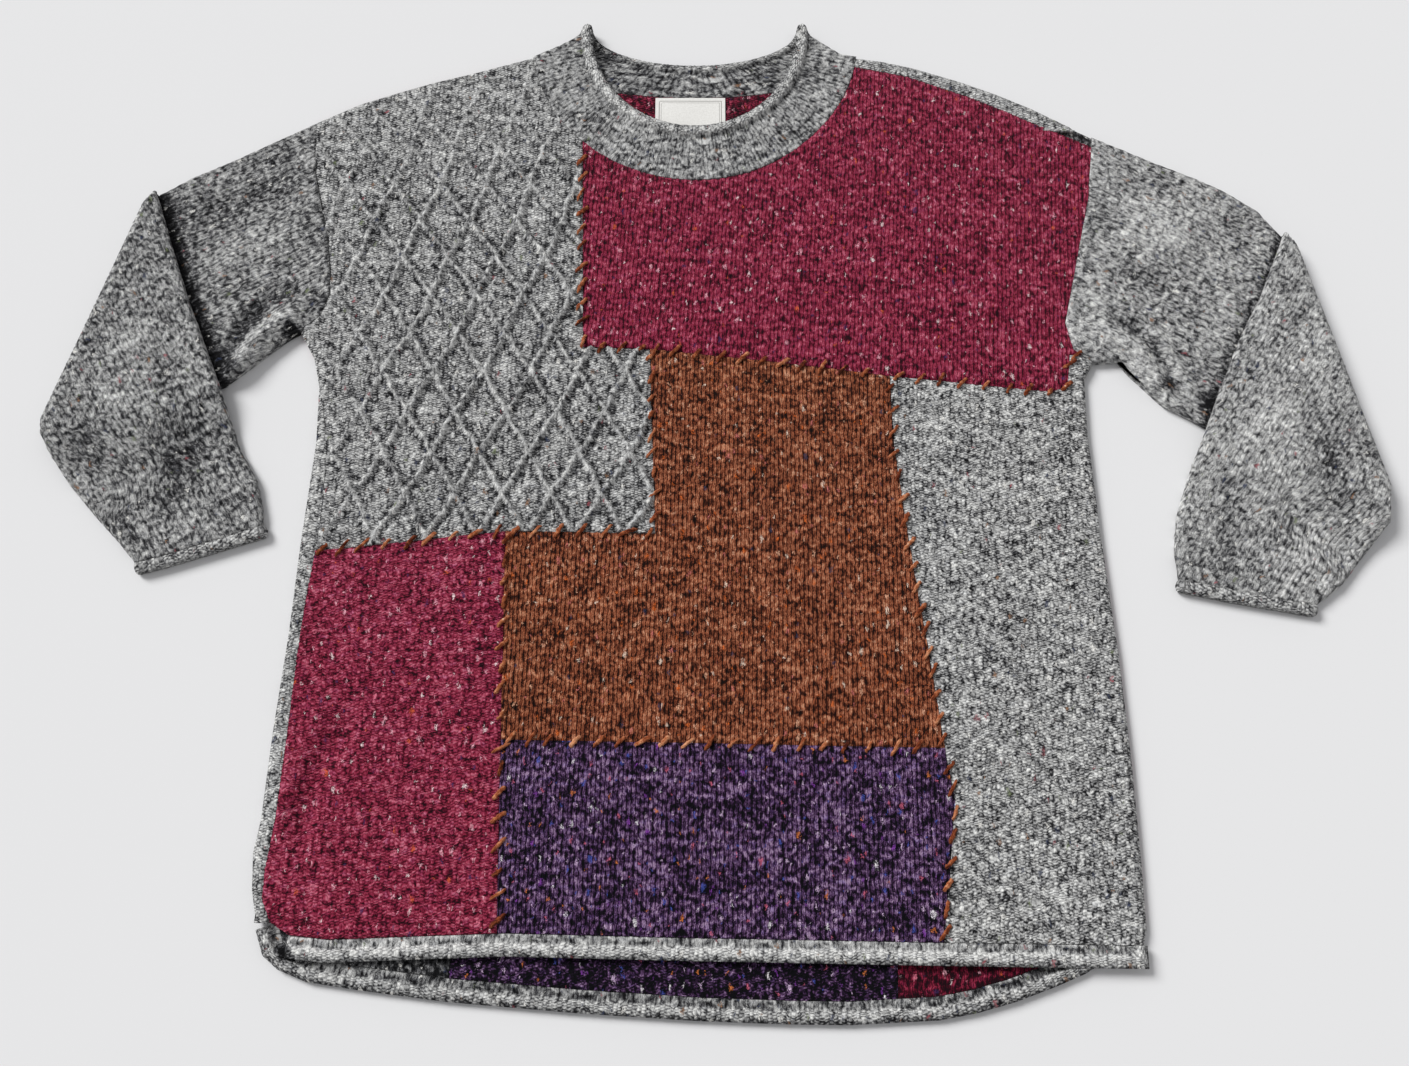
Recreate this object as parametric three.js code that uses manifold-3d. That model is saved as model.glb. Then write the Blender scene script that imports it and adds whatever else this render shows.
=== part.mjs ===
// A patchwork wool sweater, laid out flat on its back with both sleeves folded in over themselves.
// Millimetres. +X runs to the right sleeve as seen from above, +Y to the neck, +Z up from the surface.
// Each cloth layer is a wall of real thickness: the body is a flattened tube of two layers that is
// cut along its seams into panels, and each sleeve is a flattened tube that turns back over itself.
import * as THREE from "three";
import { mergeVertices } from "three/addons/utils/BufferGeometryUtils.js";
import Module from "manifold-3d";

const wasm = await Module();
wasm.setup();

// ---- driving dimensions ----
const WALL = 3.2; // thickness of the knitted cloth
const AIR = 1.2; // air between two layers that lie on each other
const FLAT = 2 * WALL + AIR; // height of a flattened tube of cloth
const SEAM = 0.3; // gap between two pieces that are sewn together
const MIDDLE = FLAT / 2; // height where a panel hands over to its neighbour at a folded edge
const EDGE_STEPS = 6; // facets of the round at a folded edge
const BACK_AXIS = -9.5; // the back has the front's patches, turned over about this line

const NECK = [-13, 394]; // centre that the neck curves share
const NECKLINE = [138, 143.5]; // half axes of the seam between the front and its neckband
const NECK_EDGE = [86, 93]; // half axes of the neckband's rolled edge
const BACK_NECK = [-13, 400]; // the same for the back, whose curves are flatter
const BACK_NECKLINE = [170, 67.5];
const BACK_NECK_EDGE = [86, 36];
const NECK_ROLL = { width: 9, height: 7.5 };
const BACK_NECK_ROLL = { width: 7, height: 6 };
const BACK_ROLL_REACH = 66; // how far the back's roll runs to each side, clear of the front's
const UNDER_ROLL = 1; // how far a neckband stops short of the edge beneath its roll

const PAST_NECK = 80; // how far above the neck's centre the pieces that cut it open reach

const HEM_ROLL = { width: 14.5, height: 7 };
const COVERED_HEM = 3.4; // height of the back hem where the front hem lies over it
const CUFF_LENGTH = 8;
const CUFF_SWELL = 2; // how much thicker the rolled cuff is than the sleeve
const CUFF_ROUND = 1.5; // how much wider the cuff is at the middle of its roll
const LABEL = { x: -16.5, top: 331.5, width: 58, length: 34, thickness: 0.6 };

// ---- outlines, seen from above ----
const LEFT_SIDE = [
  [-320, 113], [-307, 90], [-301, 66], [-299, 20], [-303, -60], [-305, -131],
  [-309, -200], [-311, -263], [-314, -285], [-312, -310], [-307, -331], [-303, -352],
];
const RIGHT_SIDE = [
  [288, -352], [293, -335], [294, -296], [294.5, -221], [293, -145], [289, -60],
  [286.5, 26], [288, 72], [296, 86],
];
const RIGHT_SHOULDER = [
  [314, 292], [293, 304], [266, 320], [238, 334], [210, 346], [171, 360],
  [146, 366.5], [124, 370], [110, 373.5], [95, 384.5], [84, 392], [76, 398],
];
const LEFT_SHOULDER = [
  [-101, 398.5], [-109, 393], [-118, 387.5], [-127, 382], [-148, 371], [-173, 363], [-195, 356],
  [-230, 346], [-259, 336], [-291, 324], [-325, 306],
];
const RIGHT_ARMHOLE = [[296, 86], [281, 97], [277, 120], [289, 167], [305, 231], [314, 292]];
const LEFT_ARMHOLE = [[-325, 306], [-321, 255], [-306, 195], [-299, 150], [-305, 127], [-320, 113]];

const FRONT_HEM = [
  [-304, -316], [-297, -331], [-284, -339], [-258, -342], [-200, -340], [-139, -338],
  [-8, -341], [156, -344], [292, -346],
];
const BACK_HEM = [
  [-307, -336], [-301, -352], [-290, -361], [-270, -369], [-236, -374], [-176, -381.5],
  [-90, -388.5], [-8, -393.5], [50, -395.5], [91, -396], [151, -393], [176, -388.5],
  [202, -381.5], [229, -372], [249, -364], [265, -355], [279, -344],
];

// The back wraps round to the front along the left side and the right shoulder, up to these lines.
const LEFT_WRAP = [
  [-312, 76], [-297, 55], [-290, 10], [-290, -40], [-292, -74], [-295, -108], [-297, -144],
  [-298.5, -200], [-300, -255], [-304, -296],
];
const SHOULDER_WRAP = [
  [313, 281], [277, 299], [247, 315], [215, 330], [165, 351], [130, 359], [112, 363],
];
// The region that holds both wraps: it runs down the left side, and along the shoulders from there.
const WRAP_REGION = [
  [-340, FRONT_HEM[0][1] - 12], [-250, FRONT_HEM[0][1] - 12], [-250, 79], [120, 300], [330, 300],
  [330, 460], [100, 460], [-340, 79],
];

// ---- patches: seam lines of the front, which the back repeats turned over ----
const OUT = 40; // how far a patch reaches past the garment's outline before it is cut to it
const DIAMOND = [
  [-360 - OUT, -72], [-289, -67], [-152, -52], [-41, -53.5], [-47, 98], [-99, 100],
  [-105, 300], [-105, 450], [-360 - OUT, 450],
];
const YOKE = [
  [-105, 450], [-105, 300], [-99, 100], [-47, 98], [38, 88], [138, 75], [262, 61],
  [274, 66], [278, 92], [320 + OUT, 92], [320 + OUT, 450],
];
const BROWN = [
  [-47, 98], [-41, -53.5], [-152, -52], [-148, -207], [10, -210], [164, -213],
  [157, -150], [148, -75], [139, 12], [138, 75], [38, 88],
];
const PURPLE = [
  [-148, -207], [-142, -341 - OUT * 2], [158, -344 - OUT * 2], [156, -342], [163, -297],
  [169, -249], [164, -213], [10, -210],
];
const LOWER = [
  [-152, -52], [-289, -67], [-360 - OUT, -72], [-360 - OUT, -341 - OUT * 2],
  [-142, -341 - OUT * 2], [-148, -207],
];
const SIDE = [
  [320 + OUT, 92], [278, 92], [274, 66], [262, 61], [138, 75], [139, 12], [148, -75],
  [157, -150], [164, -213], [169, -249], [163, -297], [156, -342], [158, -344 - OUT * 2],
  [320 + OUT, -344 - OUT * 2],
];

// ---- sleeves: edges run from the armhole to the fold, and from the fold to the cuff ----
const LEFT_SLEEVE = {
  armhole: LEFT_ARMHOLE,
  over: [[-325, 306], [-360, 286], [-390, 270], [-420, 255], [-446, 233]],
  under: [[-320, 113], [-330, 107], [-345, 94], [-358, 82], [-376, 66], [-425, 45], [-505, 23]],
  foldedOver: [
    [-446, 233], [-428, 188], [-409, 140], [-376, 66], [-356, 13], [-341, -10], [-334, -34], [-332, -48],
  ],
  foldedUnder: [[-505, 23], [-495, 5], [-480, -16], [-459, -39], [-439, -59], [-423, -77]],
  cuff: [[-332, -48], [-368, -60], [-405, -72], [-423, -77]],
};
const RIGHT_SLEEVE = {
  armhole: [...RIGHT_ARMHOLE].reverse(),
  over: [[314, 292], [358, 270], [393, 252], [428, 226], [456, 189]],
  under: [[296, 86], [320, 88], [329, 78], [336, 64], [348, 50], [366, 40], [420, 5], [503, -31]],
  foldedOver: [
    [456, 189], [433, 146], [409, 103], [384, 50], [363, 2], [347, -39], [342, -66], [343, -90],
  ],
  foldedUnder: [[503, -31], [502, -46], [487, -64], [462, -93], [440, -109]],
  cuff: [[343, -90], [380, -98], [407, -103], [440, -109]],
};

// ---- plane geometry ----

// The part of an ellipse below its centre, from its left end to its right end, as an open line.
function lowerArc([cx, cy], [a, b], steps = 20) {
  const points = [];
  for (let i = 0; i <= steps; i++) {
    const angle = Math.PI * (1 + i / steps);
    points.push([cx + a * Math.cos(angle), cy + b * Math.sin(angle)]);
  }
  return points;
}

// All that lies above a neck curve, up to a straight line well past the neck.
function aboveNeck(centre, axes) {
  const arc = lowerArc(centre, axes);
  const top = centre[1] + PAST_NECK;
  return [...arc, [arc.at(-1)[0], top], [arc[0][0], top]];
}

function signedArea(outline) {
  let sum = 0;
  outline.forEach(([x, y], i) => {
    const [nextX, nextY] = outline[(i + 1) % outline.length];
    sum += x * nextY - nextX * y;
  });
  return sum / 2;
}

function anticlockwise(outline) {
  return signedArea(outline) > 0 ? outline : [...outline].reverse();
}

// Each point moved to the left of its line's run by the distance, corners mitred.
function shifted(points, distance, closed) {
  const last = points.length - 1;
  return points.map(([x, y], i) => {
    const before = points[i === 0 ? (closed ? last : 0) : i - 1];
    const after = points[i === last ? (closed ? 0 : last) : i + 1];
    const into = new THREE.Vector2(x - before[0], y - before[1]).normalize();
    const out = new THREE.Vector2(after[0] - x, after[1] - y).normalize();
    if (into.length() === 0) into.copy(out);
    if (out.length() === 0) out.copy(into);
    const normal = new THREE.Vector2(-into.y - out.y, into.x + out.x).normalize();
    const stretch = 1 / Math.max(0.4, normal.x * -into.y + normal.y * into.x);
    return [x + normal.x * distance * stretch, y + normal.y * distance * stretch];
  });
}

function inset(outline, distance) {
  return shifted(anticlockwise(outline), distance, true);
}

function turnedOver(outline) {
  return outline.map(([x, y]) => [2 * BACK_AXIS - x, y]);
}

// A point at a share of the length of an open line.
function along(line, share) {
  const lengths = line.slice(1).map(([x, y], i) => Math.hypot(x - line[i][0], y - line[i][1]));
  let left = share * lengths.reduce((sum, length) => sum + length, 0);
  let i = 0;
  while (i < lengths.length - 1 && left > lengths[i]) {
    left -= lengths[i];
    i += 1;
  }
  const t = left / lengths[i];
  return [0, 1].map((axis) => line[i][axis] * (1 - t) + line[i + 1][axis] * t);
}

function smoothstep(value) {
  const t = Math.min(1, Math.max(0, value));
  return t * t * (3 - 2 * t);
}

// ---- solids ----

function solidOf(geometry) {
  const bare = geometry.clone();
  bare.deleteAttribute("normal");
  bare.deleteAttribute("uv");
  const merged = mergeVertices(bare, 1e-4);
  return new wasm.Manifold(
    new wasm.Mesh({
      numProp: 3,
      vertProperties: new Float32Array(merged.attributes.position.array),
      triVerts: new Uint32Array(merged.index.array),
    }),
  );
}

function geometryOf(solid) {
  const mesh = solid.getMesh();
  const geometry = new THREE.BufferGeometry();
  geometry.setAttribute("position", new THREE.BufferAttribute(new Float32Array(mesh.vertProperties), 3));
  geometry.setIndex(new THREE.BufferAttribute(new Uint32Array(mesh.triVerts), 1));
  geometry.computeVertexNormals();
  return geometry;
}

function meshGeometry(vertices, triangles) {
  const geometry = new THREE.BufferGeometry();
  geometry.setAttribute("position", new THREE.Float32BufferAttribute(vertices.flat(), 3));
  geometry.setIndex(triangles.flat());
  return geometry;
}

// A straight-sided block of the outline's shape, far taller than the cloth unless told otherwise.
function prism(outline, low = -20, high = 60) {
  const shape = new THREE.Shape(anticlockwise(outline).map(([x, y]) => new THREE.Vector2(x, y)));
  const geometry = new THREE.ExtrudeGeometry(shape, { depth: high - low, bevelEnabled: false });
  geometry.translate(0, 0, low);
  return solidOf(geometry);
}

// A slab whose rim is a half round all the way along its outline.
function roundedSlab(outline, low, high) {
  const radius = (high - low) / 2;
  const loops = [];
  for (let i = 0; i <= EDGE_STEPS; i++) {
    const angle = (Math.PI * i) / EDGE_STEPS;
    const loop = inset(outline, radius * (1 - Math.sin(angle)));
    loops.push(loop.map(([x, y]) => [x, y, low + radius * (1 - Math.cos(angle))]));
  }
  const count = outline.length;
  const triangles = [];
  for (let level = 0; level < EDGE_STEPS; level++) {
    for (let i = 0; i < count; i++) {
      const a = level * count + i;
      const b = level * count + ((i + 1) % count);
      triangles.push([a, b, b + count], [a, b + count, a + count]);
    }
  }
  const face = loops[0].map(([x, y]) => new THREE.Vector2(x, y));
  const topStart = EDGE_STEPS * count;
  THREE.ShapeUtils.triangulateShape(face, []).forEach(([a, b, c]) => {
    triangles.push([c, b, a], [topStart + a, topStart + b, topStart + c]);
  });
  return solidOf(meshGeometry(loops.flat(), triangles));
}

// A closed skin through rings that all have the same number of points. Rings may come in two skins,
// an outer and an inner one, joined by a flat rim at both ends, which makes a pipe.
function pipe(outerRings, innerRings) {
  const count = outerRings[0].length;
  const vertices = [...outerRings, ...innerRings].flat();
  const innerStart = outerRings.length * count;
  const quads = [];
  for (let ring = 0; ring < outerRings.length - 1; ring++) {
    for (let i = 0; i < count; i++) {
      const next = (i + 1) % count;
      const a = ring * count;
      quads.push([a + i, a + next, a + count + next, a + count + i]);
      const b = innerStart + a;
      quads.push([b + i, b + count + i, b + count + next, b + next]);
    }
  }
  [0, outerRings.length - 1].forEach((ring) => {
    for (let i = 0; i < count; i++) {
      const next = (i + 1) % count;
      const a = ring * count;
      const b = innerStart + a;
      const rim = [a + i, b + i, b + next, a + next];
      quads.push(ring === 0 ? rim : rim.reverse());
    }
  });
  const triangles = quads.flatMap(([a, b, c, d]) => [[a, b, c], [a, c, d]]);
  const solid = solidOf(meshGeometry(vertices, triangles));
  return solid.volume() > 0 ? solid : solidOf(meshGeometry(vertices, triangles.map((t) => t.reverse())));
}

// A soft roll along an open line: flat below, round above, with height(x, y) as its thickness.
function roll(line, width, low, height) {
  const steps = 8;
  const sideRise = 0.25; // share of the height at which the roll is widest
  const foot = 0.8; // share of the width that rests below
  const rings = line.map((point, i) => {
    const ring = [];
    for (let k = 0; k <= steps; k++) {
      const angle = (Math.PI * k) / steps;
      const [x, y] = shifted(line, (width / 2) * Math.cos(angle), false)[i];
      const rise = sideRise + (1 - sideRise) * Math.sin(angle);
      ring.push([x, y, low + height(point[0], point[1]) * rise]);
    }
    const [leftX, leftY] = shifted(line, (width / 2) * foot, false)[i];
    const [rightX, rightY] = shifted(line, (-width / 2) * foot, false)[i];
    ring.push([rightX, rightY, low], [leftX, leftY, low]);
    return ring;
  });
  const count = rings[0].length;
  const triangles = [];
  for (let ring = 0; ring < rings.length - 1; ring++) {
    for (let i = 0; i < count; i++) {
      const a = ring * count + i;
      const b = ring * count + ((i + 1) % count);
      triangles.push([a, b, b + count], [a, b + count, a + count]);
    }
  }
  const end = (rings.length - 1) * count;
  for (let i = 1; i < count - 1; i++) {
    triangles.push([0, i + 1, i], [end, end + i, end + i + 1]);
  }
  const solid = solidOf(meshGeometry(rings.flat(), triangles));
  const turned = triangles.map((t) => [...t].reverse());
  return solid.volume() > 0 ? solid : solidOf(meshGeometry(rings.flat(), turned));
}

// ---- the body: a flattened tube, cut along its seams ----

// Past the hem, the neck and the armholes the tube runs on, so that cutting it leaves them open.
function bodyOutline() {
  const pastHem = [[-303, -450], [288, -450]];
  const pastRightArm = [[322, 87], [380, 70], [380, 258]];
  const pastNeck = [[68, 405], [68, 430], [-94, 430], [-94, 405]];
  const pastLeftArm = [[-390, 270], [-390, 60], [-340, 98]];
  return [
    ...LEFT_SIDE, ...pastHem, ...RIGHT_SIDE, ...pastRightArm, ...RIGHT_SHOULDER,
    ...pastNeck, ...LEFT_SHOULDER, ...pastLeftArm,
  ];
}

function bodyTube() {
  const outline = anticlockwise(bodyOutline());
  const outside = roundedSlab(outline, 0, FLAT);
  const inside = roundedSlab(inset(outline, WALL), WALL, FLAT - WALL);
  return outside.subtract(inside);
}

// Where the torso meets the sleeves, as one region that holds the torso and leaves both sleeves out.
function torsoOutline() {
  return [
    [-324, -460], [306, -460], [306, 62], ...RIGHT_ARMHOLE, [318, 320], [318, 460],
    [-332, 460], [-332, 320], ...LEFT_ARMHOLE, [-326, 96],
  ];
}

// The share of the upper layer that belongs to the front pieces.
function frontOutline() {
  return [
    ...FRONT_HEM, [330, -346], [330, 62], ...RIGHT_ARMHOLE.slice(0, -1), ...SHOULDER_WRAP,
    [130, 420], [-160, 420], [-340, 345], ...LEFT_ARMHOLE, [-335, 96], ...LEFT_WRAP,
  ];
}

function backHemSeam() {
  const seam = shifted(BACK_HEM, HEM_ROLL.width + SEAM, false);
  return [[-340, seam[0][1]], ...seam, [330, seam[seam.length - 1][1]]];
}

function backOutline() {
  return [...backHemSeam(), [330, 460], [-340, 460]];
}

const EVERYWHERE = [[-600, -600], [600, -600], [600, 600], [-600, 600]];
const ABOVE = 60; // heights that clear the garment
const BENEATH = -20;
const body = bodyTube();
const torso = prism(inset(torsoOutline(), SEAM / 2));
const upper = prism(EVERYWHERE, MIDDLE + SEAM / 2, ABOVE);
const lower = prism(EVERYWHERE, BENEATH, MIDDLE - SEAM / 2);
const neckOpening = prism(inset(aboveNeck(NECK, NECKLINE), -SEAM / 2));
const backNeckOpening = prism(inset(aboveNeck(BACK_NECK, BACK_NECKLINE), -SEAM / 2));

const frontLayer = body
  .intersect(torso)
  .intersect(upper)
  .intersect(prism(inset(frontOutline(), SEAM / 2)))
  .subtract(neckOpening);

// The wraps are the rest of the upper layer, above the hem and outside the neckband.
const wraps = body
  .intersect(torso)
  .intersect(prism(WRAP_REGION))
  .subtract(prism(inset(frontOutline(), -SEAM / 2), MIDDLE - SEAM, ABOVE))
  .subtract(neckOpening)
  .subtract(backNeckOpening.intersect(prism(EVERYWHERE, BENEATH, MIDDLE + SEAM / 2)));

const backLayer = body
  .intersect(torso)
  .intersect(lower)
  .intersect(prism(backOutline()))
  .subtract(backNeckOpening)
  .add(wraps);

function frontPatch(outline) {
  return frontLayer.intersect(prism(inset(outline, SEAM / 2)));
}

function backPatch(outline) {
  return backLayer.intersect(prism(inset(turnedOver(outline), SEAM / 2)));
}

// ---- bands ----

function frontNeckband() {
  const band = body
    .intersect(upper)
    .intersect(prism(inset(aboveNeck(NECK, NECKLINE), SEAM / 2)))
    .subtract(prism(aboveNeck(NECK, NECK_EDGE.map((axis) => axis + UNDER_ROLL))));
  const half = NECK_ROLL.width / 2;
  const line = lowerArc(NECK, [NECK_EDGE[0] + half, NECK_EDGE[1] + half]);
  const edge = roll(line, NECK_ROLL.width, FLAT - WALL, () => NECK_ROLL.height);
  return band.add(edge);
}

function backNeckband() {
  const band = body
    .intersect(lower)
    .intersect(prism(inset(aboveNeck(BACK_NECK, BACK_NECKLINE), SEAM / 2)))
    .subtract(prism(aboveNeck(BACK_NECK, BACK_NECK_EDGE.map((axis) => axis + UNDER_ROLL))));
  const half = BACK_NECK_ROLL.width / 2;
  const line = lowerArc(BACK_NECK, [BACK_NECK_EDGE[0] + half, BACK_NECK_EDGE[1] + half]);
  const clear = line.filter(([x]) => Math.abs(x - BACK_NECK[0]) < BACK_ROLL_REACH);
  return band.add(roll(clear, BACK_NECK_ROLL.width, 0, () => BACK_NECK_ROLL.height));
}

function frontHem() {
  const line = shifted(FRONT_HEM.slice(2), -HEM_ROLL.width / 2 - SEAM, false);
  return roll(line, HEM_ROLL.width, COVERED_HEM + SEAM, () => HEM_ROLL.height);
}

function backHem() {
  const line = shifted(BACK_HEM, HEM_ROLL.width / 2, false);
  const coveredFrom = 205;
  const coveredTo = -262;
  const fade = 25;
  return roll(line, HEM_ROLL.width, 0, (x) => {
    const open = smoothstep((x - coveredTo) / fade) * smoothstep((coveredFrom - x) / fade);
    return COVERED_HEM + open * (HEM_ROLL.height - COVERED_HEM);
  });
}

// ---- sleeves ----

const FOLD_AXIS = FLAT + SEAM; // height of the line that a sleeve turns back about
const DROP = 50; // length over which the folded part comes down beside the sleeve that it lies on

// A point of a four-sided region from its four edge lines: s runs along the sleeve, u across it.
function regionPoint(start, end, over, under, s, u) {
  const a = along(start, u);
  const b = along(end, u);
  const c = along(over, s);
  const d = along(under, s);
  return [0, 1].map((axis) => {
    const across = (1 - s) * a[axis] + s * b[axis];
    const lengthwise = (1 - u) * c[axis] + u * d[axis];
    const corners =
      (1 - s) * (1 - u) * start[0][axis] + (1 - s) * u * start.at(-1)[axis] +
      s * (1 - u) * end[0][axis] + s * u * end.at(-1)[axis];
    return across + lengthwise - corners;
  });
}

// Ring of a flattened tube as pairs of u, the place across it, and z above its lower face.
function flatRing(width, height, wallInset) {
  const radius = height / 2;
  const round = radius - wallInset;
  const columns = 5;
  const ring = [];
  for (let i = 0; i <= 4; i++) {
    const angle = (Math.PI * i) / 4;
    ring.push([(radius - round * Math.sin(angle)) / width, radius + round * Math.cos(angle)]);
  }
  for (let i = 1; i <= columns; i++) ring.push([i / (columns + 1), radius - round]);
  for (let i = 0; i <= 4; i++) {
    const angle = (Math.PI * i) / 4;
    ring.push([1 - (radius - round * Math.sin(angle)) / width, radius - round * Math.cos(angle)]);
  }
  for (let i = columns; i >= 1; i--) ring.push([i / (columns + 1), radius + round]);
  return ring;
}

function widthAt(place, s) {
  const [x0, y0] = place(s, 0);
  const [x1, y1] = place(s, 1);
  return Math.hypot(x1 - x0, y1 - y0);
}

// How far a point lies outside the sleeve's lower edge.
function distanceBelow(line, [x, y]) {
  let nearest = Infinity;
  let side = 1;
  for (let i = 0; i < line.length - 1; i++) {
    const [ax, ay] = line[i];
    const [bx, by] = line[i + 1];
    const run = Math.hypot(bx - ax, by - ay);
    const t = Math.min(1, Math.max(0, ((x - ax) * (bx - ax) + (y - ay) * (by - ay)) / (run * run)));
    const distance = Math.hypot(x - ax - t * (bx - ax), y - ay - t * (by - ay));
    if (distance < nearest) {
      nearest = distance;
      side = y < ay + t * (by - ay) ? 1 : -1;
    }
  }
  return nearest * side;
}

function sleeveRings(sleeve, wallInset) {
  const fold = [sleeve.over.at(-1), sleeve.under.at(-1)];
  const upperArm = (s, u) => regionPoint(sleeve.armhole, fold, sleeve.over, sleeve.under, s, u);
  const forearm = (s, u) =>
    regionPoint(fold, sleeve.cuff, sleeve.foldedOver, sleeve.foldedUnder, s, u);
  const outward = Math.sign(fold[0][0]);
  const run = Math.hypot(fold[1][0] - fold[0][0], fold[1][1] - fold[0][1]);
  const normal = [
    (outward * Math.abs(fold[1][1] - fold[0][1])) / run,
    Math.abs(fold[1][0] - fold[0][0]) / run,
  ];
  const lift = (point) => {
    const lying = 1 - smoothstep(distanceBelow(sleeve.under, point) / DROP);
    return (FLAT + 2 * SEAM) * lying;
  };
  const rings = [];
  const upperSections = 7;
  for (let i = 0; i < upperSections; i++) {
    const s = i / upperSections;
    const ring = flatRing(widthAt(upperArm, s), FLAT, wallInset);
    rings.push(ring.map(([u, z]) => [...upperArm(s, u), z]));
  }
  const foldSections = 6;
  for (let i = 0; i <= foldSections; i++) {
    const angle = (Math.PI * i) / foldSections;
    const ring = flatRing(run, FLAT, wallInset);
    rings.push(
      ring.map(([u, z]) => {
        const [x, y] = upperArm(1, u);
        const reach = (FOLD_AXIS - z) * Math.sin(angle);
        return [x + normal[0] * reach, y + normal[1] * reach, FOLD_AXIS - (FOLD_AXIS - z) * Math.cos(angle)];
      }),
    );
  }
  const forearmSections = 12;
  for (let i = 1; i <= forearmSections; i++) {
    const s = i / forearmSections;
    const ring = flatRing(widthAt(forearm, s), FLAT, wallInset);
    rings.push(
      ring.map(([u, z]) => {
        const point = forearm(s, u);
        return [...point, lift(point) + FLAT - z];
      }),
    );
  }
  return rings;
}

function sleeveSolid(sleeve) {
  return pipe(sleeveRings(sleeve, 0), sleeveRings(sleeve, WALL))
    .subtract(prism(inset(torsoOutline(), -SEAM / 2)));
}

function cuffSolid(sleeve) {
  const height = FLAT + CUFF_SWELL;
  const away = sleeve.cuff[0][0] < 0 ? -1 : 1;
  const [first, last] = [sleeve.cuff[0], sleeve.cuff.at(-1)];
  const run = Math.hypot(last[0] - first[0], last[1] - first[1]);
  const down = [(away * (last[1] - first[1])) / run, (-away * (last[0] - first[0])) / run];
  const rings = (wallInset) =>
    [SEAM, CUFF_LENGTH * 0.5, CUFF_LENGTH].map((distance, i) => {
      const swell = i === 1 ? CUFF_ROUND : 0;
      const ring = flatRing(run, height, wallInset);
      return ring.map(([u, z]) => {
        const wide = 0.5 + (u - 0.5) * (1 + (swell + CUFF_SWELL) / run);
        const [x, y] = along(sleeve.cuff, Math.min(1, Math.max(0, wide)));
        return [x + down[0] * distance, y + down[1] * distance, z];
      });
    });
  return pipe(rings(0), rings(WALL));
}

// ---- label ----

function label() {
  const { x, top, width, length, thickness } = LABEL;
  const low = WALL + SEAM;
  const geometry = new THREE.BoxGeometry(width, length, thickness);
  geometry.translate(x, top - length / 2, low + thickness / 2);
  return solidOf(geometry);
}

// ---- the garment ----

const COLOURS = {
  grey_wool: 0x7f7f7f,
  burgundy_wool: 0x7a2342,
  brown_wool: 0x67391f,
  purple_wool: 0x3c2a52,
  label_cotton: 0xe9e6dc,
};

const PIECES = [
  ["front_diamond", frontPatch(DIAMOND), "grey_wool"],
  ["front_yoke", frontPatch(YOKE), "burgundy_wool"],
  ["front_centre", frontPatch(BROWN), "brown_wool"],
  ["front_bottom", frontPatch(PURPLE), "purple_wool"],
  ["front_lower", frontPatch(LOWER), "burgundy_wool"],
  ["front_side", frontPatch(SIDE), "grey_wool"],
  ["back_diamond", backPatch(DIAMOND), "grey_wool"],
  ["back_yoke", backPatch(YOKE), "burgundy_wool"],
  ["back_centre", backPatch(BROWN), "brown_wool"],
  ["back_bottom", backPatch(PURPLE), "purple_wool"],
  ["back_lower", backPatch(LOWER), "burgundy_wool"],
  ["back_side", backPatch(SIDE), "grey_wool"],
  ["front_hem", frontHem(), "grey_wool"],
  ["back_hem", backHem(), "grey_wool"],
  ["front_neckband", frontNeckband(), "grey_wool"],
  ["back_neckband", backNeckband(), "grey_wool"],
  ["left_sleeve", sleeveSolid(LEFT_SLEEVE), "grey_wool"],
  ["right_sleeve", sleeveSolid(RIGHT_SLEEVE), "grey_wool"],
  ["left_cuff", cuffSolid(LEFT_SLEEVE), "grey_wool"],
  ["right_cuff", cuffSolid(RIGHT_SLEEVE), "grey_wool"],
  ["neck_label", label(), "label_cotton"],
];

const sweater = new THREE.Group();
PIECES.forEach(([name, solid, cloth]) => {
  const material = new THREE.MeshStandardMaterial({
    color: COLOURS[cloth],
    roughness: 0.95,
    metalness: 0,
  });
  const mesh = new THREE.Mesh(geometryOf(solid), material);
  mesh.name = name;
  sweater.add(mesh);
});

export default sweater;
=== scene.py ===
# Patchwork wool sweater, laid flat: knitted cloth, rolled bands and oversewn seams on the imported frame.
# Shapes are worked out in millimetres, in the frame's own axes, and turned into metres when a mesh is made.
import bpy
import math
import numpy as np
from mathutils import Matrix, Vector, geometry


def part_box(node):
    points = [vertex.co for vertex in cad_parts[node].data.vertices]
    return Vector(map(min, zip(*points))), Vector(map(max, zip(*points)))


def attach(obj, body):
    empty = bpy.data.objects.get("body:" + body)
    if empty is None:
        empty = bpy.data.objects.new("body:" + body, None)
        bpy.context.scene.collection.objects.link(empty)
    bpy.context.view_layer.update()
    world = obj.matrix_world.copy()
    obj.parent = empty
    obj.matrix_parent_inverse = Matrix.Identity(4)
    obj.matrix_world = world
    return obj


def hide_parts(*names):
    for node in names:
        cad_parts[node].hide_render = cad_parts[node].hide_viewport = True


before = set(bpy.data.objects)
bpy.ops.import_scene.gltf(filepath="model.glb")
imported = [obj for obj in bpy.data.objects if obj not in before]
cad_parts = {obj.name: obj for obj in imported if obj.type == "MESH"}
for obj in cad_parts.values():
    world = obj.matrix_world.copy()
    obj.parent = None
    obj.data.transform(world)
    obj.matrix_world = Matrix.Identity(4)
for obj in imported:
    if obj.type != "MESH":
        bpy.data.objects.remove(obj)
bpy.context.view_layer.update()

MM = 0.001
WALE = 3.1  # width of one knitted stitch
COURSE = 2.2  # height of one knitted stitch
WALL = 3.2  # thickness of the cloth
SEAM = 0.3  # gap between pieces
FLAT = 7.6  # height of the flattened body
MIDDLE = FLAT / 2  # height where front and back meet at a folded edge
FOLD_ROUND = 5.5  # how far from a folded edge the cloth is rounded
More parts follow.
